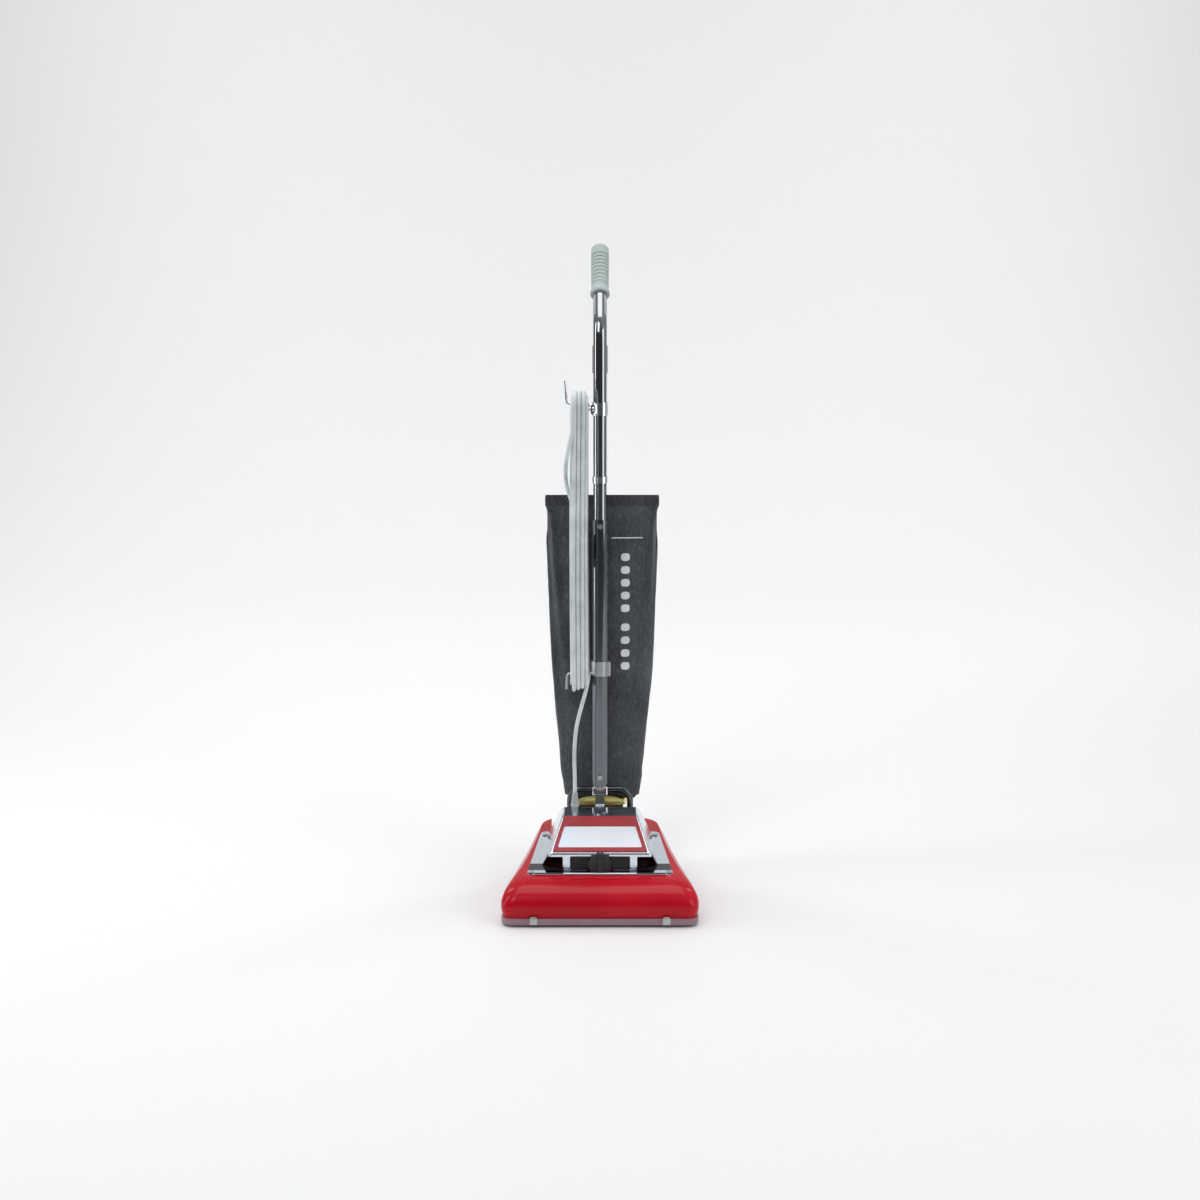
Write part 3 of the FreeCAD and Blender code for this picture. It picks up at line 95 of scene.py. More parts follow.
def make_lights():
    """A big soft box on the right, a thin one on the left, a key above and a little from behind."""
    area_light("right_box", (2.5, -1.5, 1.3), (0, 0, 0.55), (1.5, 2.2), 24)
    area_light("left_strip", (-2.4, -0.2, 1.2), (0, 0, 0.55), (0.45, 2.4), 18)
    area_light("key", (-1.3, -2.3, 3.0), (0, 0, 0.3), (1.5, 1.5), 30)
    area_light("overhead", (0.0, 0.3, 3.4), (0, 0.2, 0), (2.4, 2.4), 42)
    area_light("backdrop_left", (-2.6, 2.2, 3.2), (-0.6, 5.2, 1.2), (1.6, 1.6), 60)
    area_light("backdrop_right", (2.6, 2.2, 3.2), (0.6, 5.2, 1.2), (1.6, 1.6), 60)


def make_world():
    """A room that reflections see as dark on one side and bright on the other; its walls look plain."""
    world = bpy.data.worlds.new("studio")
    world.use_nodes = True
    nodes, links = world.node_tree.nodes, world.node_tree.links
    coords = nodes.new("ShaderNodeTexCoord")
    turn = nodes.new("ShaderNodeVectorMath")
    turn.operation = "DOT_PRODUCT"
    turn.inputs[1].default_value = WORLD_BRIGHT_SIDE
    links.new(coords.outputs["Generated"], turn.inputs[0])
    ramp = nodes.new("ShaderNodeValToRGB")
    ramp.color_ramp.elements[0].position = 0.34
    ramp.color_ramp.elements[0].color = (*grey(WORLD_DARK), 1)
    ramp.color_ramp.elements[1].position = 0.74
    ramp.color_ramp.elements[1].color = (*WORLD_BRIGHT, 1)
    scale = nodes.new("ShaderNodeMapRange")
    scale.inputs["From Min"].default_value = -1.0
    links.new(turn.outputs["Value"], scale.inputs["Value"])
    links.new(scale.outputs["Result"], ramp.inputs["Fac"])
    seen = nodes.new("ShaderNodeMix")
    seen.data_type = "RGBA"
    seen.inputs["B"].default_value = (*grey(WORLD_SEEN), 1)
    links.new(nodes.new("ShaderNodeLightPath").outputs["Is Camera Ray"], seen.inputs["Factor"])
    links.new(ramp.outputs["Color"], seen.inputs["A"])
    links.new(seen.outputs["Result"], nodes["Background"].inputs["Color"])
    nodes["Background"].inputs["Strength"].default_value = WORLD_STRENGTH
    SCENE.world = world
    SCENE.view_settings.view_transform = "Standard"


def make_floor():
    """A pale floor that curves up into a backdrop far behind the machine."""
    rows = [(y, 0.0) for y in (-FLOOR_REACH, -4.0, 0.0, CURVE_Y)]
    for i in range(1, CURVE_STEPS + 1):
        angle = math.radians(90 * i / CURVE_STEPS)
        rows.append((CURVE_Y + CURVE_RADIUS * math.sin(angle), CURVE_RADIUS - CURVE_RADIUS * math.cos(angle)))
    rows.append((CURVE_Y + CURVE_RADIUS, WALL_TOP))
    verts = [(x, y, z - FLOOR_GAP) for y, z in rows for x in (-FLOOR_REACH, FLOOR_REACH)]
    faces = [(2 * i, 2 * i + 1, 2 * i + 3, 2 * i + 2) for i in range(len(rows) - 1)]
    floor = new_mesh("floor", verts, faces, smooth=True)
    floor.data.materials.append(material_floor())


# ---------------------------------------------------------------- mesh helpers
def new_mesh(name, verts, faces, smooth=False):
    """A new object in the scene from plain points and faces."""
    mesh = bpy.data.meshes.new(name)
    mesh.from_pydata([tuple(v) for v in verts], [], faces)
    mesh.update()
    piece = bpy.data.objects.new(name, mesh)
    SCENE.collection.objects.link(piece)
    if smooth:
        mesh.polygons.foreach_set("use_smooth", [True] * len(mesh.polygons))
    return piece


def tube_mesh(name, points, radius, sides):
    """A closed tube that follows the points, with frames carried along without twist."""
    tangents = []
    last = len(points) - 1
    for i in range(last + 1):
        tangents.append((points[min(i + 1, last)] - points[max(i - 1, 0)]).normalized())
    normal = tangents[0].orthogonal().normalized()
    verts = []
    for i, point in enumerate(points):
        tangent = tangents[i]
        normal = (normal - tangent * normal.dot(tangent)).normalized()
        other = tangent.cross(normal)
        for k in range(sides):
            angle = 2 * math.pi * k / sides
            verts.append(point + (normal * math.cos(angle) + other * math.sin(angle)) * radius)
    faces = []
    for i in range(last):
        for k in range(sides):
            a, b = i * sides + k, i * sides + (k + 1) % sides
            faces.append((a, b, b + sides, a + sides))
    faces.append(tuple(reversed(range(sides))))
    faces.append(tuple(range(last * sides, (last + 1) * sides)))
    return new_mesh(name, verts, faces, smooth=True)


def lathe(name, profile, base, axis, sides=40):
    """Turn (distance along the axis, radius) points round a line from base."""
    axis = Vector(axis).normalized()
    across = axis.orthogonal().normalized()
    other = axis.cross(across)
    verts = []
    for along, radius in profile:
        for k in range(sides):
            angle = 2 * math.pi * k / sides
            ray = across * math.cos(angle) + other * math.sin(angle)
            verts.append(Vector(base) + axis * along + ray * radius)
    faces = []
    for i in range(len(profile) - 1):
        for k in range(sides):
            a, b = i * sides + k, i * sides + (k + 1) % sides
            faces.append((a, b, b + sides, a + sides))
    faces.append(tuple(reversed(range(sides))))
    faces.append(tuple(range((len(profile) - 1) * sides, len(profile) * sides)))
    return new_mesh(name, verts, faces, smooth=True)


def smooth_by_angle(piece, degrees=35.0):
    """Shade smooth across soft edges, keep hard edges crisp."""
    mesh = piece.data
    mesh.polygons.foreach_set("use_smooth", [True] * len(mesh.polygons))
    built = bmesh.new()
    built.from_mesh(mesh)
    limit = math.radians(degrees)
    for edge in built.edges:
        edge.smooth = len(edge.link_faces) == 2 and edge.calc_face_angle(0.0) < limit
    built.to_mesh(mesh)
    built.free()


# ---------------------------------------------------------------- material helpers
class Shader:
    """A small wrapper round one material's node tree."""

    def __init__(self, name, colour, roughness, metallic=0.0):
        self.material = bpy.data.materials.new(name)
        self.material.use_nodes = True
        self.nodes = self.material.node_tree.nodes
        self.links = self.material.node_tree.links
        self.surface = self.nodes["Principled BSDF"]
        self.surface.inputs["Base Color"].default_value = (*colour, 1)
        self.surface.inputs["Roughness"].default_value = roughness
        self.surface.inputs["Metallic"].default_value = metallic
        self.coords = self.nodes.new("ShaderNodeTexCoord").outputs["Object"]
        self.height = None

    @classmethod
    def on(cls, material):
        """A wrapper round a material that already has its nodes."""
        shader = cls.__new__(cls)
        shader.material = material
        shader.nodes = material.node_tree.nodes
        shader.links = material.node_tree.links
        shader.surface = shader.nodes["Principled BSDF"]
        shader.coords = shader.nodes.new("ShaderNodeTexCoord").outputs["Object"]
        shader.height = None
        return shader

    def set(self, **values):
        """Set inputs by name, with _ for each space."""
        for name, value in values.items():
            self.surface.inputs[name.replace("_", " ")].default_value = value
        return self

    def mapped(self, stretch=(1, 1, 1), turn=(0, 0, 0)):
        """The object's own coordinates, stretched and turned."""
        mapping = self.nodes.new("ShaderNodeMapping")
        mapping.inputs["Scale"].default_value = stretch
        mapping.inputs["Rotation"].default_value = turn
        self.links.new(self.coords, mapping.inputs["Vector"])
        return mapping.outputs["Vector"]

    def noise(self, scale, detail=3.0, stretch=None, rough=0.5):
        texture = self.nodes.new("ShaderNodeTexNoise")
        texture.inputs["Scale"].default_value = scale
        texture.inputs["Detail"].default_value = detail
        texture.inputs["Roughness"].default_value = rough
        self.links.new(self.mapped(stretch) if stretch else self.coords, texture.inputs["Vector"])
        return texture.outputs["Fac"]

    def wave(self, scale, direction="X", distortion=0.0, turn=(0, 0, 0)):
        texture = self.nodes.new("ShaderNodeTexWave")
        texture.bands_direction = direction
        texture.inputs["Scale"].default_value = scale
        texture.inputs["Distortion"].default_value = distortion
        self.links.new(self.mapped(turn=turn), texture.inputs["Vector"])
        return texture.outputs["Fac"]

    def voronoi(self, scale):
        texture = self.nodes.new("ShaderNodeTexVoronoi")
        texture.inputs["Scale"].default_value = scale
        self.links.new(self.coords, texture.inputs["Vector"])
        return texture.outputs["Distance"]

    def axis(self, letter):
        """One of the object's coordinates, in metres."""
        split = self.nodes.new("ShaderNodeSeparateXYZ")
        self.links.new(self.coords, split.inputs[0])
        return split.outputs[letter]

    def math(self, operation, a, b=0.0):
        """One sum; a and b are numbers or outputs."""
        node = self.nodes.new("ShaderNodeMath")
        node.operation = operation
        for socket, value in zip(node.inputs, (a, b)):
            if isinstance(value, (int, float)):
                socket.default_value = value
            else:
                self.links.new(value, socket)
        return node.outputs[0]

    def ramp(self, value, stops):
        """Colours along a value, as (position, colour) stops."""
        node = self.nodes.new("ShaderNodeValToRGB")
        elements = node.color_ramp.elements
        while len(elements) < len(stops):
            elements.new(0.5)
        for element, (position, colour) in zip(elements, stops):
            element.position = position
            element.color = (*colour, 1)
        self.links.new(value, node.inputs["Fac"])
        return node.outputs["Color"]

    def mix(self, factor, first, second):
        """A mix of two colours, each a colour or an output."""
        node = self.nodes.new("ShaderNodeMix")
        node.data_type = "RGBA"
        self.links.new(factor, node.inputs["Factor"])
        for socket, value in ((node.inputs["A"], first), (node.inputs["B"], second)):
            if isinstance(value, tuple):
                socket.default_value = (*value, 1)
            else:
                self.links.new(value, socket)
        return node.outputs["Result"]

    def colour(self, output):
        self.links.new(output, self.surface.inputs["Base Color"])
        return self

    def roughness(self, value, low, high):
        """Let a value from 0 to 1 drive the roughness between two ends."""
        node = self.nodes.new("ShaderNodeMapRange")
        node.inputs["To Min"].default_value = low
        node.inputs["To Max"].default_value = high
        self.links.new(value, node.inputs["Value"])
        self.links.new(node.outputs["Result"], self.surface.inputs["Roughness"])
        return self

    def bump(self, value, strength, distance):
        """Add relief on top of any relief already there."""
        node = self.nodes.new("ShaderNodeBump")
        node.inputs["Strength"].default_value = strength
        node.inputs["Distance"].default_value = distance
        self.links.new(value, node.inputs["Height"])
        if self.height is not None:
            self.links.new(self.height, node.inputs["Normal"])
        self.height = node.outputs["Normal"]
        self.links.new(self.height, self.surface.inputs["Normal"])
        return self


def grey(value):
    """An even grey as a colour."""
    return (value, value, value)


# ---------------------------------------------------------------- materials
FALL_OFF_Y = 2.4          # how far in front of the machine reflections see the floor's colour painted dark, a painted dim room
# the grey of the painted shade in the hood's corner pockets
POCKET_SHADE_GREY = 0.015
POCKET_X, POCKET_FRONT_Y = 0.0665, -0.091     # the pockets' inner sides and their depth in the hood
POCKET_LOW_Z, POCKET_HIGH_Z = 0.0795, 0.1048


def material_floor():
    """Pale matt paper that reflections see painted dark well in front of the machine, a painted dim room."""
    shader = Shader("pale_floor", (0.93, 0.93, 0.93), 0.6)
    ahead = shader.math("ADD", shader.axis("Y"), FALL_OFF_Y)
    near = shader.ramp(ahead, [(0.35, grey(0)), (1.0, grey(1))])
    direct = shader.nodes.new("ShaderNodeLightPath").outputs["Is Camera Ray"]
    fibre = shader.noise(240.0, 4.0)
    pale = shader.ramp(fibre, [(0.3, grey(0.84)), (0.7, grey(0.87))])
    # painted shade: away from the machine, reflections and bounces see the floor's colour dark grey, while
    # camera rays always see it pale
    shader.colour(shader.mix(shader.math("MAXIMUM", near, direct), grey(0.22), pale))
    shader.roughness(fibre, 0.55, 0.7)
    shader.bump(fibre, 0.04, 0.0006)
    return shader.material


def material_red():
    """Glossy red moulding: faint orange peel, a little dulling along the bumper."""
    shader = Shader("red_housing", (0.46, 0.005, 0.016), 0.2)
    cloud = shader.noise(7.0, 4.0)
    shader.colour(shader.ramp(cloud, [(0.3, (0.40, 0.003, 0.012)), (0.7, (0.50, 0.006, 0.018))]))
    low = shader.ramp(shader.math("MULTIPLY", shader.axis("Z"), 20.0), [(0.3, grey(1.0)), (1.0, grey(0.0))])
    scuff = shader.ramp(shader.noise(160.0, 6.0, (0.12, 1, 1)), [(0.56, grey(0)), (0.66, grey(1))])
    worn = shader.math("MULTIPLY", low, scuff)
    wear = shader.math("ADD", shader.math("MULTIPLY", worn, 0.55), shader.math("MULTIPLY", cloud, 0.25))
    shader.roughness(wear, 0.13, 0.62)
    shader.bump(shader.noise(420.0, 2.0), 0.06, 0.0006)
    shader.bump(worn, 0.08, 0.0004)
    shader.set(Coat_Weight=0.05, Coat_Roughness=0.08, Specular_IOR_Level=0.17)
    return shader.material


def material_chrome(name="chrome", tint=(0.82, 0.84, 0.86), low=0.05, high=0.16):
    """Plated steel: faint rolling lines, fingerprints and a trace of fog."""
    shader = Shader(name, tint, low, 1.0)
    smear = shader.noise(18.0, 5.0, (1, 1, 0.35))
    fine = shader.noise(900.0, 3.0, (0.05, 0.4, 1))
    fog = shader.math("ADD", shader.math("MULTIPLY", smear, 0.75), shader.math("MULTIPLY", fine, 0.25))
    shader.roughness(fog, low, high)
    shader.colour(shader.ramp(smear, [(0.3, tuple(c * 0.93 for c in tint)), (0.7, tint)]))
    shader.bump(shader.noise(26.0, 2.0), 0.03, 0.001)
    shader.bump(fine, 0.015, 0.0003)
    return shader.material


def material_hood():
    """The hood's chrome, with painted shade in the pockets under its front corners: there its colour is all
    but black and it is not metal.
    """
    material = material_chrome("hood_chrome", (0.70, 0.75, 0.81), 0.07, 0.2)
    shader = Shader.on(material)
    outward = shader.math("SUBTRACT", shader.math("ABSOLUTE", shader.axis("X")), POCKET_X)
    side = shader.math("GREATER_THAN", outward, 0.0)
    slant = shader.math("ADD", shader.math("MULTIPLY", outward, 1.05), POCKET_LOW_Z + 0.002)
    low = shader.math("LESS_THAN", shader.axis("Z"), shader.math("MINIMUM", slant, POCKET_HIGH_Z))
    front = shader.math("LESS_THAN", shader.axis("Y"), POCKET_FRONT_Y)
    above = shader.math("GREATER_THAN", shader.axis("Z"), POCKET_LOW_Z)
    outer, inner = shader.math("MULTIPLY", side, low), shader.math("MULTIPLY", front, above)
    pocket = shader.math("MULTIPLY", outer, inner)
    surface = shader.surface
    tint = surface.inputs["Base Color"].links[0].from_socket
    # painted shade: inside the corner pockets the colour turns almost black and the metal is switched off
    shader.colour(shader.mix(pocket, tint, grey(POCKET_SHADE_GREY)))
    shader.links.new(shader.math("SUBTRACT", 1.0, pocket), surface.inputs["Metallic"])
    return material


def material_steel(name, tint, low=0.28, high=0.5):
    """Bare metal with a rolled grain and dull spots."""
    shader = Shader(name, tint, low, 1.0)
    grain = shader.noise(380.0, 4.0, (0.08, 1, 1))
    spots = shader.noise(40.0, 5.0)
    shader.colour(shader.ramp(spots, [(0.3, tuple(c * 0.78 for c in tint)), (0.75, tint)]))
    shader.roughness(shader.math("MULTIPLY", shader.math("ADD", grain, spots), 0.5), low, high)
    shader.bump(grain, 0.05, 0.0004)
    return shader.material


def material_zinc():
    """Yellow passivated zinc with its iridescent clouds."""
    shader = Shader("yellow_zinc", (0.72, 0.56, 0.16), 0.34, 0.85)
    cloud = shader.noise(34.0, 5.0)
    shader.colour(shader.ramp(cloud, [(0.25, (0.95, 0.62, 0.26)), (0.45, (0.95, 0.82, 0.28)),
                                      (0.62, (0.80, 0.78, 0.30)), (0.8, (0.92, 0.62, 0.42))]))
    shader.roughness(shader.noise(150.0, 4.0), 0.24, 0.46)
    shader.bump(shader.noise(500.0, 2.0), 0.05, 0.0003)
    return shader.material


def material_plastic(name, tint, low, high, grain=650.0, depth=0.12):
    """Moulded plastic with a fine spark-eroded grain."""
    shader = Shader(name, tint, low)
    cloud = shader.noise(22.0, 3.0)
    bright = tuple(min(1.0, c * 1.18 + 0.004) for c in tint)
    shader.colour(shader.ramp(cloud, [(0.3, tint), (0.75, bright)]))
    shader.roughness(shader.noise(90.0, 4.0), low, high)
    shader.bump(shader.noise(grain, 2.0), depth, 0.0004)
    return shader.material


def material_label_silver():
    """Brushed silver foil with a painted sheen from edge to edge: bluer at the sides, lightest in the middle.
    """
    shader = Shader("label_silver", (0.86, 0.88, 0.91), 0.3, 0.35)
    brushed = shader.noise(700.0, 3.0, (0.03, 1, 1))
    across = shader.math("ADD", shader.math("MULTIPLY", shader.axis("X"), 5.0), 0.5)
    # painted sheen: the colour runs across the label as a reflection would
    shade = shader.ramp(across, [(0.0, (0.56, 0.66, 0.76)), (0.45, (0.74, 0.76, 0.80)),
                                 (1.0, (0.66, 0.66, 0.76))])
    shader.colour(shader.mix(shader.math("MULTIPLY", brushed, 0.25), shade, (0.82, 0.83, 0.85)))
    shader.roughness(brushed, 0.22, 0.4)
    shader.bump(brushed, 0.03, 0.0003)
    return shader.material


def material_cloth(name="bag_cloth", dark=(0.018, 0.021, 0.025), light=(0.078, 0.086, 0.096)):
    """Charcoal heather twill: crossed yarns, flecks and faint handling marks."""
    shader = Shader(name, dark, 0.85)
    warp = shader.wave(420.0, "X", 1.2)
    weft = shader.wave(420.0, "Z", 1.2)
    twill = shader.wave(210.0, "DIAGONAL", 2.0)
    yarns = shader.math("MULTIPLY", shader.math("ADD", warp, weft), 0.5)
    heather = shader.noise(260.0, 6.0, (1, 1, 0.3), 0.75)
    cloud = shader.noise(16.0, 5.0)
    fleck = shader.ramp(shader.noise(520.0, 3.0, (1, 1, 0.25)), [(0.60, grey(0)), (0.70, grey(1))])
    blend = shader.math("ADD", shader.math("MULTIPLY", heather, 0.75), shader.math("MULTIPLY", cloud, 0.45))
    base = shader.ramp(blend, [(0.42, dark), (0.78, light)])
    shader.colour(shader.mix(shader.math("MULTIPLY", fleck, 0.35), base, (0.26, 0.27, 0.28)))
    shader.roughness(yarns, 0.78, 0.95)
    shader.bump(yarns, 0.35, 0.0007)
    shader.bump(twill, 0.15, 0.0005)
    shader.bump(cloud, 0.25, 0.004)
    shader.set(Sheen_Weight=0.35, Sheen_Roughness=0.5)
    return shader.material


def material_cord():
    """Pale grey PVC jacket, slightly dusty, with a fine grain."""
    shader = Shader("cord_jacket", (0.56, 0.58, 0.58), 0.42)
    dust = shader.noise(30.0, 5.0)
    shader.colour(shader.ramp(dust, [(0.3, (0.52, 0.57, 0.59)), (0.7, (0.74, 0.79, 0.80))]))
    shader.roughness(shader.noise(120.0, 3.0), 0.34, 0.56)
    shader.bump(shader.noise(480.0, 2.0), 0.08, 0.0004)
    return shader.material


def material_wood():
    """Turned hardwood with its rings drawn out along the dowel."""
    shader = Shader("brush_wood", (0.42, 0.27, 0.14), 0.45)
    rings = shader.noise(60.0, 6.0, (0.06, 1, 1))
    shader.colour(shader.ramp(rings, [(0.3, (0.28, 0.16, 0.08)), (0.7, (0.50, 0.33, 0.18))]))
    shader.roughness(rings, 0.36, 0.6)
    shader.bump(rings, 0.15, 0.0005)
    return shader.material


def material_bristle():
    """Packed dark hairs."""
    shader = Shader("bristle", (0.03, 0.03, 0.032), 0.55)
    hairs = shader.voronoi(1400.0)
    shader.colour(shader.ramp(hairs, [(0.1, (0.09, 0.09, 0.09)), (0.6, (0.01, 0.01, 0.01))]))
    shader.bump(hairs, 0.6, 0.001)
    return shader.material


def paint(material, *names):
    """Give CAD nodes that stay visible a material through their slots."""
    for name in names:
        piece = NODES[name]
        for i in range(max(1, len(piece.material_slots))):
            if len(piece.material_slots) == 0:
                piece.data.materials.append(material)
            else:
                piece.material_slots[i].material = material


# ---------------------------------------------------------------- power cord
CORD_D = 0.0076
RELIEF_LOW, RELIEF_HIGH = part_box("strain_relief")
CORD_EXIT = (round((RELIEF_LOW.x + RELIEF_HIGH.x) / 2, 4), round((RELIEF_LOW.y + RELIEF_HIGH.y) / 2, 4),
             round(RELIEF_HIGH.z, 4))
LEAD_ROUTE = [
    (-0.048, 0.038, 0.170),
    (-0.048, 0.038, 0.190),
    (-0.048, 0.038, 0.210),
    (-0.0495, 0.0405, 0.254),
    (-0.046, 0.0425, 0.305),
    (-0.036, 0.040, 0.345),
    (-0.027, 0.037, 0.377),
]
TAIL_ROUTE = [
    (-0.050, 0.017, 0.872),
    (-0.0565, 0.014, 0.846),
    (-0.0635, 0.020, 0.812),
    (-0.064, 0.034, 0.775),
    (-0.054, 0.0465, 0.740),
    (-0.041, 0.052, 0.712),
    (-0.040, 0.052, 0.692),
    (-0.040, 0.052, 0.662),
]
WIND_BOX_LOW, WIND_BOX_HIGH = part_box("cord_winding")
END_ROOM = 0.0415                      # from the end of the winding to the centre of its end curves
WIND_Y = round((WIND_BOX_LOW.y + WIND_BOX_HIGH.y) / 2, 4)
WIND_TOP_Z = round(WIND_BOX_HIGH.z - END_ROOM, 4)
WIND_LOW_Z = round(WIND_BOX_LOW.z + END_ROOM, 4)
COLUMN_X0 = round(WIND_BOX_HIGH.x - CORD_D / 2, 4)
COLUMN_PITCH = CORD_D + 0.00025
HOOK_RADIUS = 0.015
LAYERS = ((0, 1, 2, 3, 4), (3.5, 2.5, 1.5, 0.5), (0.5, 1.5, 2.5, 3.5))     # columns, in winding order
TURN_STATIONS = ([("low", -90), ("low", -45), ("low", 0)]
                 + [("rear", 0.25), ("rear", 0.5), ("rear", 0.75)]
                 + [("top", angle) for angle in (0, 45, 90, 135, 180)]
                 + [("front", 0.75), ("front", 0.5), ("front", 0.25)]
                 + [("low", 180), ("low", 225)])


def turn_point(x, radius, station, slack):
    """One control point of a turn; the ends swell a little because a spline cuts corners."""
    place, value = station
    if place in ("low", "top"):
        angle = math.radians(value)
        swell = 1 + 0.09 * abs(math.sin(2 * angle)) + 0.06 * abs(math.sin(angle))
        y = WIND_Y + radius * swell * math.cos(angle)
        z = radius * swell * math.sin(angle) + (WIND_LOW_Z - slack if place == "low" else WIND_TOP_Z)
        return Vector((x, y, z))
    bow = 0.0016 * math.sin(math.pi * value)
    side = 1 if place == "rear" else -1
    z = WIND_LOW_Z + (WIND_TOP_Z - WIND_LOW_Z) * value
    return Vector((x - bow, WIND_Y + side * (radius + bow), z))


def winding_route():
    """Every turn between the hooks, layer on layer, each drifting into the next one's place."""
    places = [(COLUMN_X0 - COLUMN_PITCH * column, HOOK_RADIUS + CORD_D * (layer + 0.5))
              for layer, columns in enumerate(LAYERS) for column in columns]
    points = []
    for i, (x, radius) in enumerate(places):
        next_x = places[min(i + 1, len(places) - 1)][0]
        slack = 0.012 * (places[0][0] - x) / (COLUMN_PITCH * 4) + 0.003 * noise.noise((i * 3.7, 0.4, 0.0))
        for k, station in enumerate(TURN_STATIONS):
            if i == len(places) - 1 and station == ("front", 0.75):
                return points
            drift = x + (next_x - x) * k / len(TURN_STATIONS)
            wobble = 0.0009 * noise.noise((i * 5.1, k * 1.7, 2.0))
            depth = 0.0011 * noise.noise((i * 2.3, k * 1.1, 7.0))
            points.append(turn_point(drift + wobble, radius + depth, station, slack))
    return points


def cord_line():
    """The cord's own line as points, read from one smooth spline through its whole route."""
    data = bpy.data.curves.new("cord_line", "CURVE")
    data.dimensions = "3D"
    data.resolution_u = 5
    spline = data.splines.new("NURBS")
    route = [Vector(p) for p in LEAD_ROUTE] + winding_route() + [Vector(p) for p in TAIL_ROUTE]
    spline.points.add(len(route) - 1)
    for point, place in zip(spline.points, route):
        point.co = (*place, 1.0)
    spline.order_u = 3
    spline.use_endpoint_u = True
    curve = bpy.data.objects.new("cord_line", data)
    SCENE.collection.objects.link(curve)
    bpy.context.view_layer.update()
    mesh = bpy.data.meshes.new_from_object(curve.evaluated_get(bpy.context.evaluated_depsgraph_get()))
    points = [v.co.copy() for v in mesh.vertices]
    bpy.data.meshes.remove(mesh)
    bpy.data.objects.remove(curve)
    clean = [points[0]]
    for point in points[1:]:
        if (point - clean[-1]).length > 0.0004:
            clean.append(point)
    return clean


def make_cord():
    """The whole cord in one piece: lead, winding and loose end."""
    line = cord_line()
    cord = tube_mesh("power_cord", line, CORD_D / 2, 12)
    cord.data.materials.append(material_cord())
    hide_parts("cord_lead", "cord_winding", "cord_tail")
    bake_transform(cord)
    relief = make_strain_relief()


def make_strain_relief():
    """A tapered, ribbed moulding that grips the cord where it leaves the head."""
    base = (CORD_EXIT[0], CORD_EXIT[1], round(RELIEF_LOW.z + 0.001, 4))
    profile = [(0.0, 0.0059), (0.0163, 0.0059), (0.0165, 0.0084), (0.0188, 0.0084), (0.0192, 0.0074)]
    ribs = 6
    start, stop = 0.0200, 0.0430
    for i in range(ribs):
        low = start + (stop - start) * i / ribs
        step = (stop - start) / ribs
        radius = 0.0073 - 0.0022 * i / ribs
        profile += [(low, radius), (low + step * 0.55, radius - 0.0002),
                    (low + step * 0.62, radius - 0.0011), (low + step * 0.92, radius - 0.0011)]
    profile += [(stop, 0.0048), (stop + 0.0005, 0.0042)]
    relief = lathe("strain_relief_boot", profile, base, (0, 0, 1), 36)
    smooth_by_angle(relief, 30)
    relief.data.materials.append(material_plastic("relief_rubber", (0.42, 0.44, 0.44), 0.45, 0.65))
    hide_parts("strain_relief")
    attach(relief, "head")
    return relief


# ---------------------------------------------------------------- dust bag
BAG_BOX_LOW, BAG_BOX_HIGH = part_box("bag")
BAG_X = round((BAG_BOX_LOW.x + BAG_BOX_HIGH.x) / 2, 4)
BAG_TOP_Z = round(BAG_BOX_HIGH.z, 4)
BAG_LEVELS = (            # height, half width, front, back
    (0.157, 0.072, 0.081, 0.131),
    (0.172, 0.0755, 0.084, 0.132),
    (0.200, 0.078, 0.092, 0.133),
    (0.270, 0.081, 0.096, 0.146),
    (0.400, 0.098, 0.096, 0.164),
    (0.540, 0.104, 0.096, 0.166),
    (0.640, 0.1065, 0.098, 0.152),
    (0.700, 0.107, 0.103, 0.130),
    (0.724, 0.1072, 0.1085, 0.1155),
    (BAG_TOP_Z, 0.1075, 0.1100, 0.1140),
)
BAG_COLUMNS, BAG_ROWS = 112, 118
HEM = 0.022
TAPE_HALF = 2             # half the side tape's width, in columns of the bag's mesh
NECK_ROWS, TOP_ROWS = 4, 5                    # rows that the collar and the top seam hold
TUBE_Y, TUBE_ROOM = 0.07, 0.0165              # the handle tube's middle and the room that the cloth leaves it
SETTLE_FRAMES = 40
MARK_X, MARK_WIDTH, MARK_HEIGHT = 0.0485, 0.017, 0.015
MARK_HEIGHTS = [0.625 - 0.0247 * n for n in range(5)] + [0.489 - 0.0253 * n for n in range(4)]


def bag_level(z):
    """Half width, front and back of the bag at a height, eased between the levels."""
    for low, high in zip(BAG_LEVELS, BAG_LEVELS[1:]):
        if z <= high[0]:
            t = max(0.0, (z - low[0]) / (high[0] - low[0]))
            return [a + (b - a) * t for a, b in zip(low[1:], high[1:])]
    return list(BAG_LEVELS[-1][1:])


def bag_form(columns, rows, shrink=0.0):
    """Points of the bag's surface, ring by ring from the neck up."""
    verts = []
    for row in range(rows):
        z = BAG_LEVELS[0][0] + (BAG_LEVELS[-1][0] - BAG_LEVELS[0][0]) * row / (rows - 1)
        nearby = [bag_level(z - 0.008), bag_level(z), bag_level(z + 0.008)]
        half, front, back = [sum(values) / 3 for values in zip(*nearby)]
        middle, deep = (front + back) / 2, (back - front) / 2
        flat = min(1.0, max(0.0, (z - 0.60) / 0.14))
        power = 1.0 - 0.25 * flat
        for k in range(columns):
            angle = 2 * math.pi * k / columns
            c, s = math.cos(angle), math.sin(angle)
            x = BAG_X + (half - shrink) * math.copysign(abs(c) ** 0.8, c)
            y = middle + max(0.0005, deep - shrink) * math.copysign(abs(s) ** power, s)
            tuck = 0.014 * smooth_step((y - 0.112) / 0.010) * smooth_step((0.19 - z) / 0.03)
            verts.append(Vector((x, y, z - tuck)))
    return verts


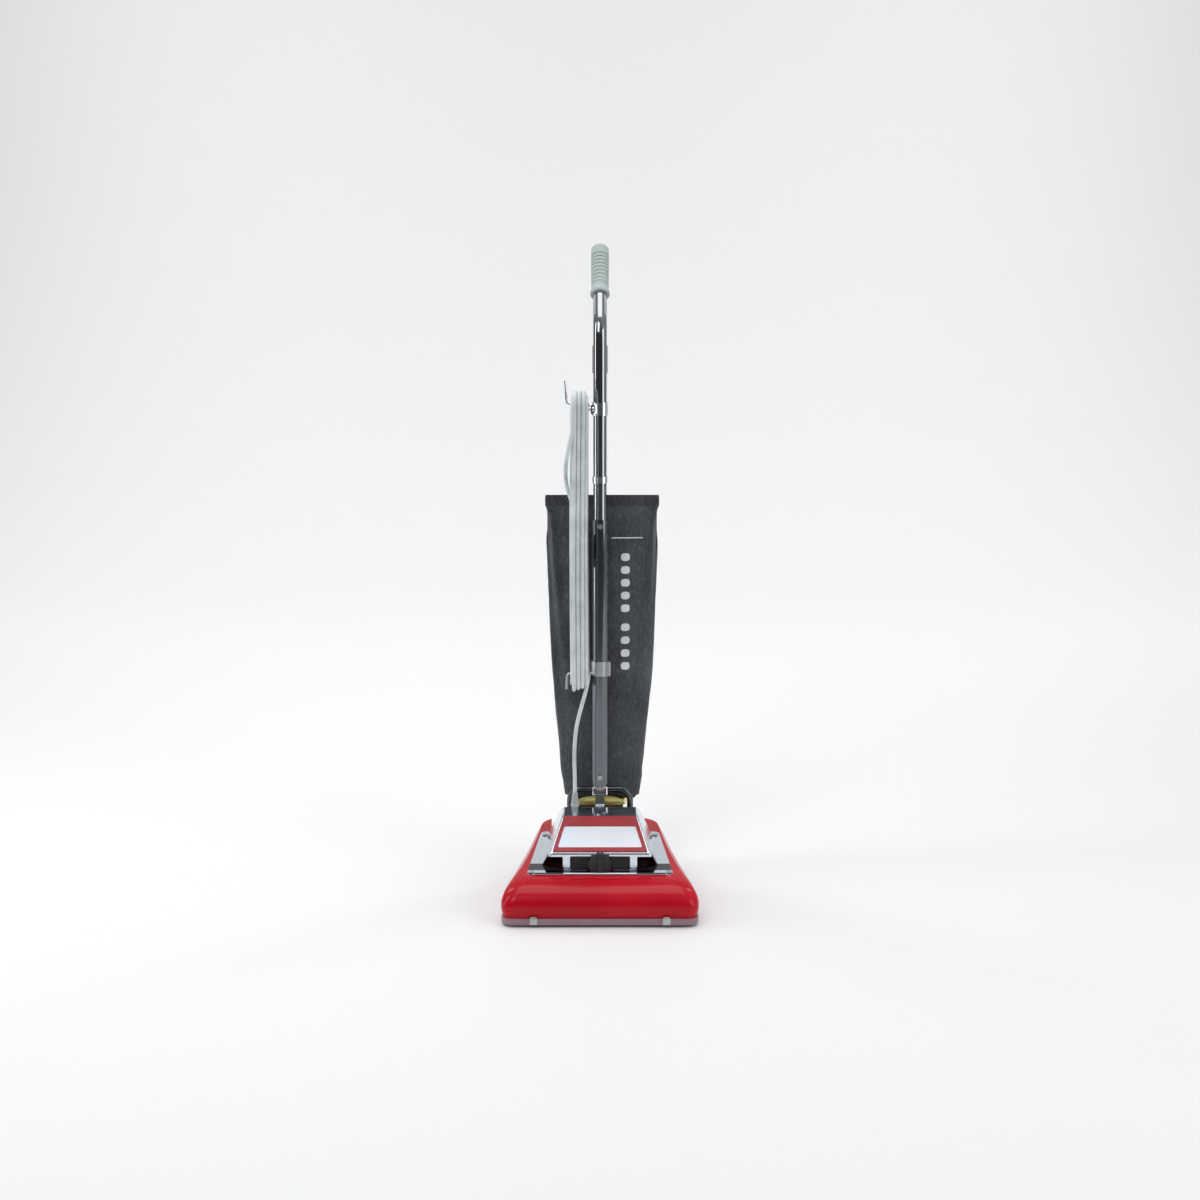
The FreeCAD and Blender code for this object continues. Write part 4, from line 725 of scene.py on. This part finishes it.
def smooth_step(value):
    """Ease from 0 to 1 as the value goes from 0 to 1."""
    value = max(0.0, min(1.0, value))
    return value * value * (3 - 2 * value)


def ring_faces(columns, rows):
    """Four-sided faces between rings of points that lie one above another."""
    return [(r * columns + k, r * columns + (k + 1) % columns,
             (r + 1) * columns + (k + 1) % columns, (r + 1) * columns + k)
            for r in range(rows - 1) for k in range(columns)]


def drape(cloth, held, blockers, frames):
    """Let the cloth sag for a while, then keep the shape it settled into."""
    group = cloth.vertex_groups.new(name="held")
    group.add(held, 1.0, "REPLACE")
    modifier = cloth.modifiers.new("sag", "CLOTH")
    settings = modifier.settings
    settings.quality = 6
    settings.mass = 0.35
    settings.tension_stiffness = settings.compression_stiffness = 25
    settings.shear_stiffness = 12
    settings.bending_stiffness = 1.1
    settings.air_damping = 3.0
    settings.vertex_group_mass = "held"
    settings.shrink_min = -0.022
    modifier.collision_settings.distance_min = 0.0015
    modifier.collision_settings.collision_quality = 2
    modifier.point_cache.frame_start = 1
    modifier.point_cache.frame_end = frames
    for blocker in blockers:
        blocker.modifiers.new("blocks", "COLLISION")
        blocker.collision.thickness_outer = 0.001
    for frame_number in range(1, frames + 1):
        SCENE.frame_set(frame_number)
    result = cloth.evaluated_get(bpy.context.evaluated_depsgraph_get())
    settled = bpy.data.meshes.new_from_object(result)
    cloth.modifiers.clear()
    cloth.vertex_groups.clear()
    cloth.data = settled
    SCENE.frame_set(1)
    for blocker in blockers:
        bpy.data.objects.remove(blocker)


def relax_low(cloth, below, passes):
    """Ease out the small lumps that the simulation leaves where the bag narrows to its neck."""
    points = [vert.co.copy() for vert in cloth.data.vertices]
    rows = [row for row in range(NECK_ROWS, BAG_ROWS - 1) if points[row * BAG_COLUMNS].z < below]
    for _ in range(passes):
        old = list(points)
        for row in rows:
            share = 0.5 * smooth_step((below - old[row * BAG_COLUMNS].z) / 0.06)
            for column in range(BAG_COLUMNS):
                around = ((row, column - 1), (row, column + 1), (row - 1, column), (row + 1, column))
                mean = sum((old[r * BAG_COLUMNS + c % BAG_COLUMNS] for r, c in around), Vector()) / 4
                index = row * BAG_COLUMNS + column
                points[index] = old[index].lerp(mean, share)
    for vert, point in zip(cloth.data.vertices, points):
        vert.co = point


def bag_cloth_mesh():
    """The bag's cloth: a lofted form that sags over the air-filled bag inside it."""
    verts = bag_form(BAG_COLUMNS, BAG_ROWS)
    for vert in verts:
        height = smooth_step((vert.z - 0.18) / 0.1) * smooth_step((0.735 - vert.z) / 0.06)
        push = noise.noise((vert.x * 14, vert.y * 14, vert.z * 6)) * 0.0035 * height
        vert.y += math.copysign(push, vert.y - 0.12) if vert.y > 0.12 else push
    faces = ring_faces(BAG_COLUMNS, BAG_ROWS)
    faces.append(tuple(range((BAG_ROWS - 1) * BAG_COLUMNS, BAG_ROWS * BAG_COLUMNS)))
    cloth = new_mesh("dust_bag", verts, faces, smooth=True)
    inner = new_mesh("full_inner_bag", bag_form(56, 60, 0.006), ring_faces(56, 60))
    tube = tube_mesh("tube_block", [Vector((0, TUBE_Y, z)) for z in (0.19, 0.45, 0.72)], TUBE_ROOM, 24)
    top = list(range((BAG_ROWS - TOP_ROWS) * BAG_COLUMNS, BAG_ROWS * BAG_COLUMNS))
    neck = list(range(0, NECK_ROWS * BAG_COLUMNS))
    drape(cloth, top + neck, [inner, tube], SETTLE_FRAMES)
    relax_low(cloth, below=0.32, passes=8)
    return cloth


def patch_of(cloth, name, rows, columns, lift, material):
    """A tape sewn on the bag: it lies on some of the bag's rows and columns, its rim pressed down."""
    closed = len(columns) == BAG_COLUMNS
    across = len(columns) if closed else len(columns) + 1
    verts, faces = [], []
    for i, row in enumerate([*rows, rows[-1] + 1]):
        for k in range(across):
            vertex = cloth.data.vertices[row * BAG_COLUMNS + (columns[0] + k) % BAG_COLUMNS]
            rim = i in (0, len(rows)) or (not closed and k in (0, across - 1))
            verts.append(vertex.co + vertex.normal * (0.0003 if rim else lift))
    for i in range(len(rows)):
        for k in range(across if closed else across - 1):
            a, b = i * across + k, i * across + (k + 1) % across
            faces.append((a, b, b + across, a + across))
    tape = new_mesh(name, verts, faces, smooth=True)
    tape.data.materials.append(material)
    return tape


def front_hit(cloth, x, z):
    """Where a straight line from the front meets the bag."""
    hit, place, normal, _ = cloth.ray_cast(Vector((x, -0.2, z)), Vector((0, 1, 0)))
    return place if hit else Vector((x, 0.1, z))


def printed_mark(cloth, name, middle_x, middle_z, width, height, corner, material):
    """A plain rounded shape printed on the cloth, lying on its folds."""
    steps = 14
    verts, faces = [], []
    for i in range(steps + 1):
        for k in range(steps + 1):
            u, v = 2 * i / steps - 1, 2 * k / steps - 1
            reach = 1.0 - corner * (abs(u) * abs(v)) ** 2
            x = middle_x + u * reach * width / 2
            z = middle_z + v * reach * height / 2
            verts.append(front_hit(cloth, x, z) + Vector((0, -0.0005, 0)))
    for i in range(steps):
        for k in range(steps):
            a = i * (steps + 1) + k
            faces.append((a, a + 1, a + steps + 2, a + steps + 1))
    mark = new_mesh(name, verts, faces, smooth=True)
    mark.data.materials.append(material)
    return mark


def make_bag():
    """The draped bag with its side tapes, top hem and printed marks."""
    cloth = bag_cloth_mesh()
    cloth.data.materials.append(material_cloth())
    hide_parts("bag", "bag_neck")
    dark = material_cloth("bag_binding", (0.012, 0.013, 0.016), (0.045, 0.048, 0.055))
    tape_rows = range(NECK_ROWS, BAG_ROWS - 1)
    half = BAG_COLUMNS // 2
    right_side = range(-TAPE_HALF, TAPE_HALF)
    left_side = range(half - TAPE_HALF, half + TAPE_HALF)
    right = patch_of(cloth, "bag_binding_right", tape_rows, right_side, 0.0011, dark)
    left = patch_of(cloth, "bag_binding_left", tape_rows, left_side, 0.0011, dark)
    rows = round(HEM / (BAG_TOP_Z - BAG_LEVELS[0][0]) * (BAG_ROWS - 1))
    hem_rows = range(BAG_ROWS - 1 - rows, BAG_ROWS - 1)
    hem = patch_of(cloth, "bag_top_hem", hem_rows, range(BAG_COLUMNS), 0.0013, dark)
    white = material_plastic("bag_print", (0.66, 0.67, 0.68), 0.55, 0.75, 500.0, 0.2)
    pieces = [cloth, right, left, hem]
    pieces.append(printed_mark(cloth, "bag_print_stripe", 0.052, 0.662, 0.060, 0.0022, 0.0, white))
    for i, z in enumerate(MARK_HEIGHTS):
        name = f"bag_print_{i + 1}"
        pieces.append(printed_mark(cloth, name, MARK_X, z, MARK_WIDTH, MARK_HEIGHT, 0.22, white))
    for piece in pieces:
        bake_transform(piece)


# ---------------------------------------------------------------- collar
def make_collar_plate():
    """The collar's plated front: a shallow arched plate that shows under the bag."""
    low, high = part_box("duct_collar")
    half, front, base = high.x - 0.003, low.y, low.z - 0.0005
    arch, belly, thick = 0.0185, 0.0035, 0.0011
    columns, levels = 48, 6
    verts, faces = [], []
    for side in (0, 1):
        for i in range(columns + 1):
            share = 2 * i / columns - 1
            curve = math.sqrt(max(0.0, 1 - share ** 2))
            bottom = base + belly * (1 - curve) - 0.001
            top = base + 0.0045 + arch * curve ** 0.8 * 0.75
            for k in range(levels + 1):
                z = bottom + (top - bottom) * k / levels
                swell = 0.0012 * math.sin(math.pi * k / levels) * curve
                y = front - 0.0002 - (swell + thick if side else 0.0)
                verts.append(Vector((half * share, y, z)))
    ring = (columns + 1) * (levels + 1)
    for side in (0, 1):
        for i in range(columns):
            for k in range(levels):
                a = side * ring + i * (levels + 1) + k
                quad = (a, a + 1, a + levels + 2, a + levels + 1)
                faces.append(quad if side == 0 else quad[::-1])
    rim = [i * (levels + 1) for i in range(columns + 1)]
    rim += [i * (levels + 1) + levels for i in range(columns, -1, -1)]
    for a, b in zip(rim, rim[1:] + rim[:1]):
        faces.append((a, b, b + ring, a + ring))
    plate = new_mesh("collar_front_plate", verts, faces)
    smooth_by_angle(plate, 40)
    plate.data.materials.append(material_zinc())
    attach(plate, "head")


# ---------------------------------------------------------------- finishes
def finish_parts():
    """Give every CAD node that stays its own material."""
    chrome = material_chrome()
    paint(material_red(), "base_housing", "rear_housing")
    paint(material_chrome("bail_chrome", (0.10, 0.105, 0.115), 0.1, 0.22), "bail")
    paint(chrome, "handle_socket", "bag_hanger", "handle_strap", "cord_hook_upper", "upper_hook_bracket")
    # painted reflection: the tubes' chrome is tinted dark, the lower tube darker than the upper, so it looks
    # like plating that reflects a dark room
    paint(material_chrome("upper_tube_chrome_painted_dark", (0.31, 0.32, 0.335), 0.04, 0.12), "upper_tube")
    paint(material_chrome("lower_tube_chrome_painted_dark", (0.155, 0.17, 0.185), 0.05, 0.14), "lower_tube")
    paint(material_hood(), "hood")
    black = material_plastic("black_plastic", (0.014, 0.014, 0.015), 0.32, 0.5)
    paint(black, "hood_grille", "height_knob", "height_cam", "release_pedal", "switch_housing",
          "switch_rocker", "plug", "fan", "fan_chamber_cover")
    steel = material_steel("plain_steel", (0.55, 0.55, 0.56))
    paint(steel, "bottom_plate", "head_fasteners", "rear_axle", "axle_push_nuts", "motor_can",
          "motor_bearings", "motor_shaft", "shaft_pulley", "brush_shaft", "brush_bearings", "pedal_pin",
          "handle_pivot_pins", "tube_screws", "wheel_carriage", "cord_hook_lower", "plate_latch_left",
          "plate_latch_right")
    paint(material_steel("core_steel", (0.30, 0.30, 0.31), 0.4, 0.6), "field_stator", "armature")
    paint(material_steel("copper_bars", (0.80, 0.42, 0.24), 0.25, 0.4), "commutator")
    paint(material_plastic("carbon", (0.02, 0.02, 0.022), 0.5, 0.7), "carbon_brushes")
    paint(material_zinc(), "duct_collar")
    paint(material_plastic("guard_rubber", (0.27, 0.165, 0.19), 0.42, 0.62, 500.0, 0.1), "furniture_guard")
    paint(material_plastic("grip_rubber", (0.37, 0.43, 0.415), 0.55, 0.75, 420.0, 0.25), "grip")
    paint(material_plastic("wheel_rubber", (0.03, 0.03, 0.032), 0.55, 0.8, 300.0, 0.3), "front_wheel_left",
          "front_wheel_right", "rear_wheel_left", "rear_wheel_right", "drive_belt")
    paint(material_plastic("duct_black", (0.02, 0.02, 0.022), 0.4, 0.6), "exhaust_duct")
    paint(material_plastic("label_red", (0.29, 0.008, 0.018), 0.28, 0.4), "label_frame")
    paint(material_label_silver(), "label_panel")
    paint(material_wood(), "brush_dowel")
    paint(material_bristle(), "brush_bristles")


make_camera()
make_lights()
make_world()
make_floor()
finish_parts()
make_cord()
make_bag()
make_collar_plate()
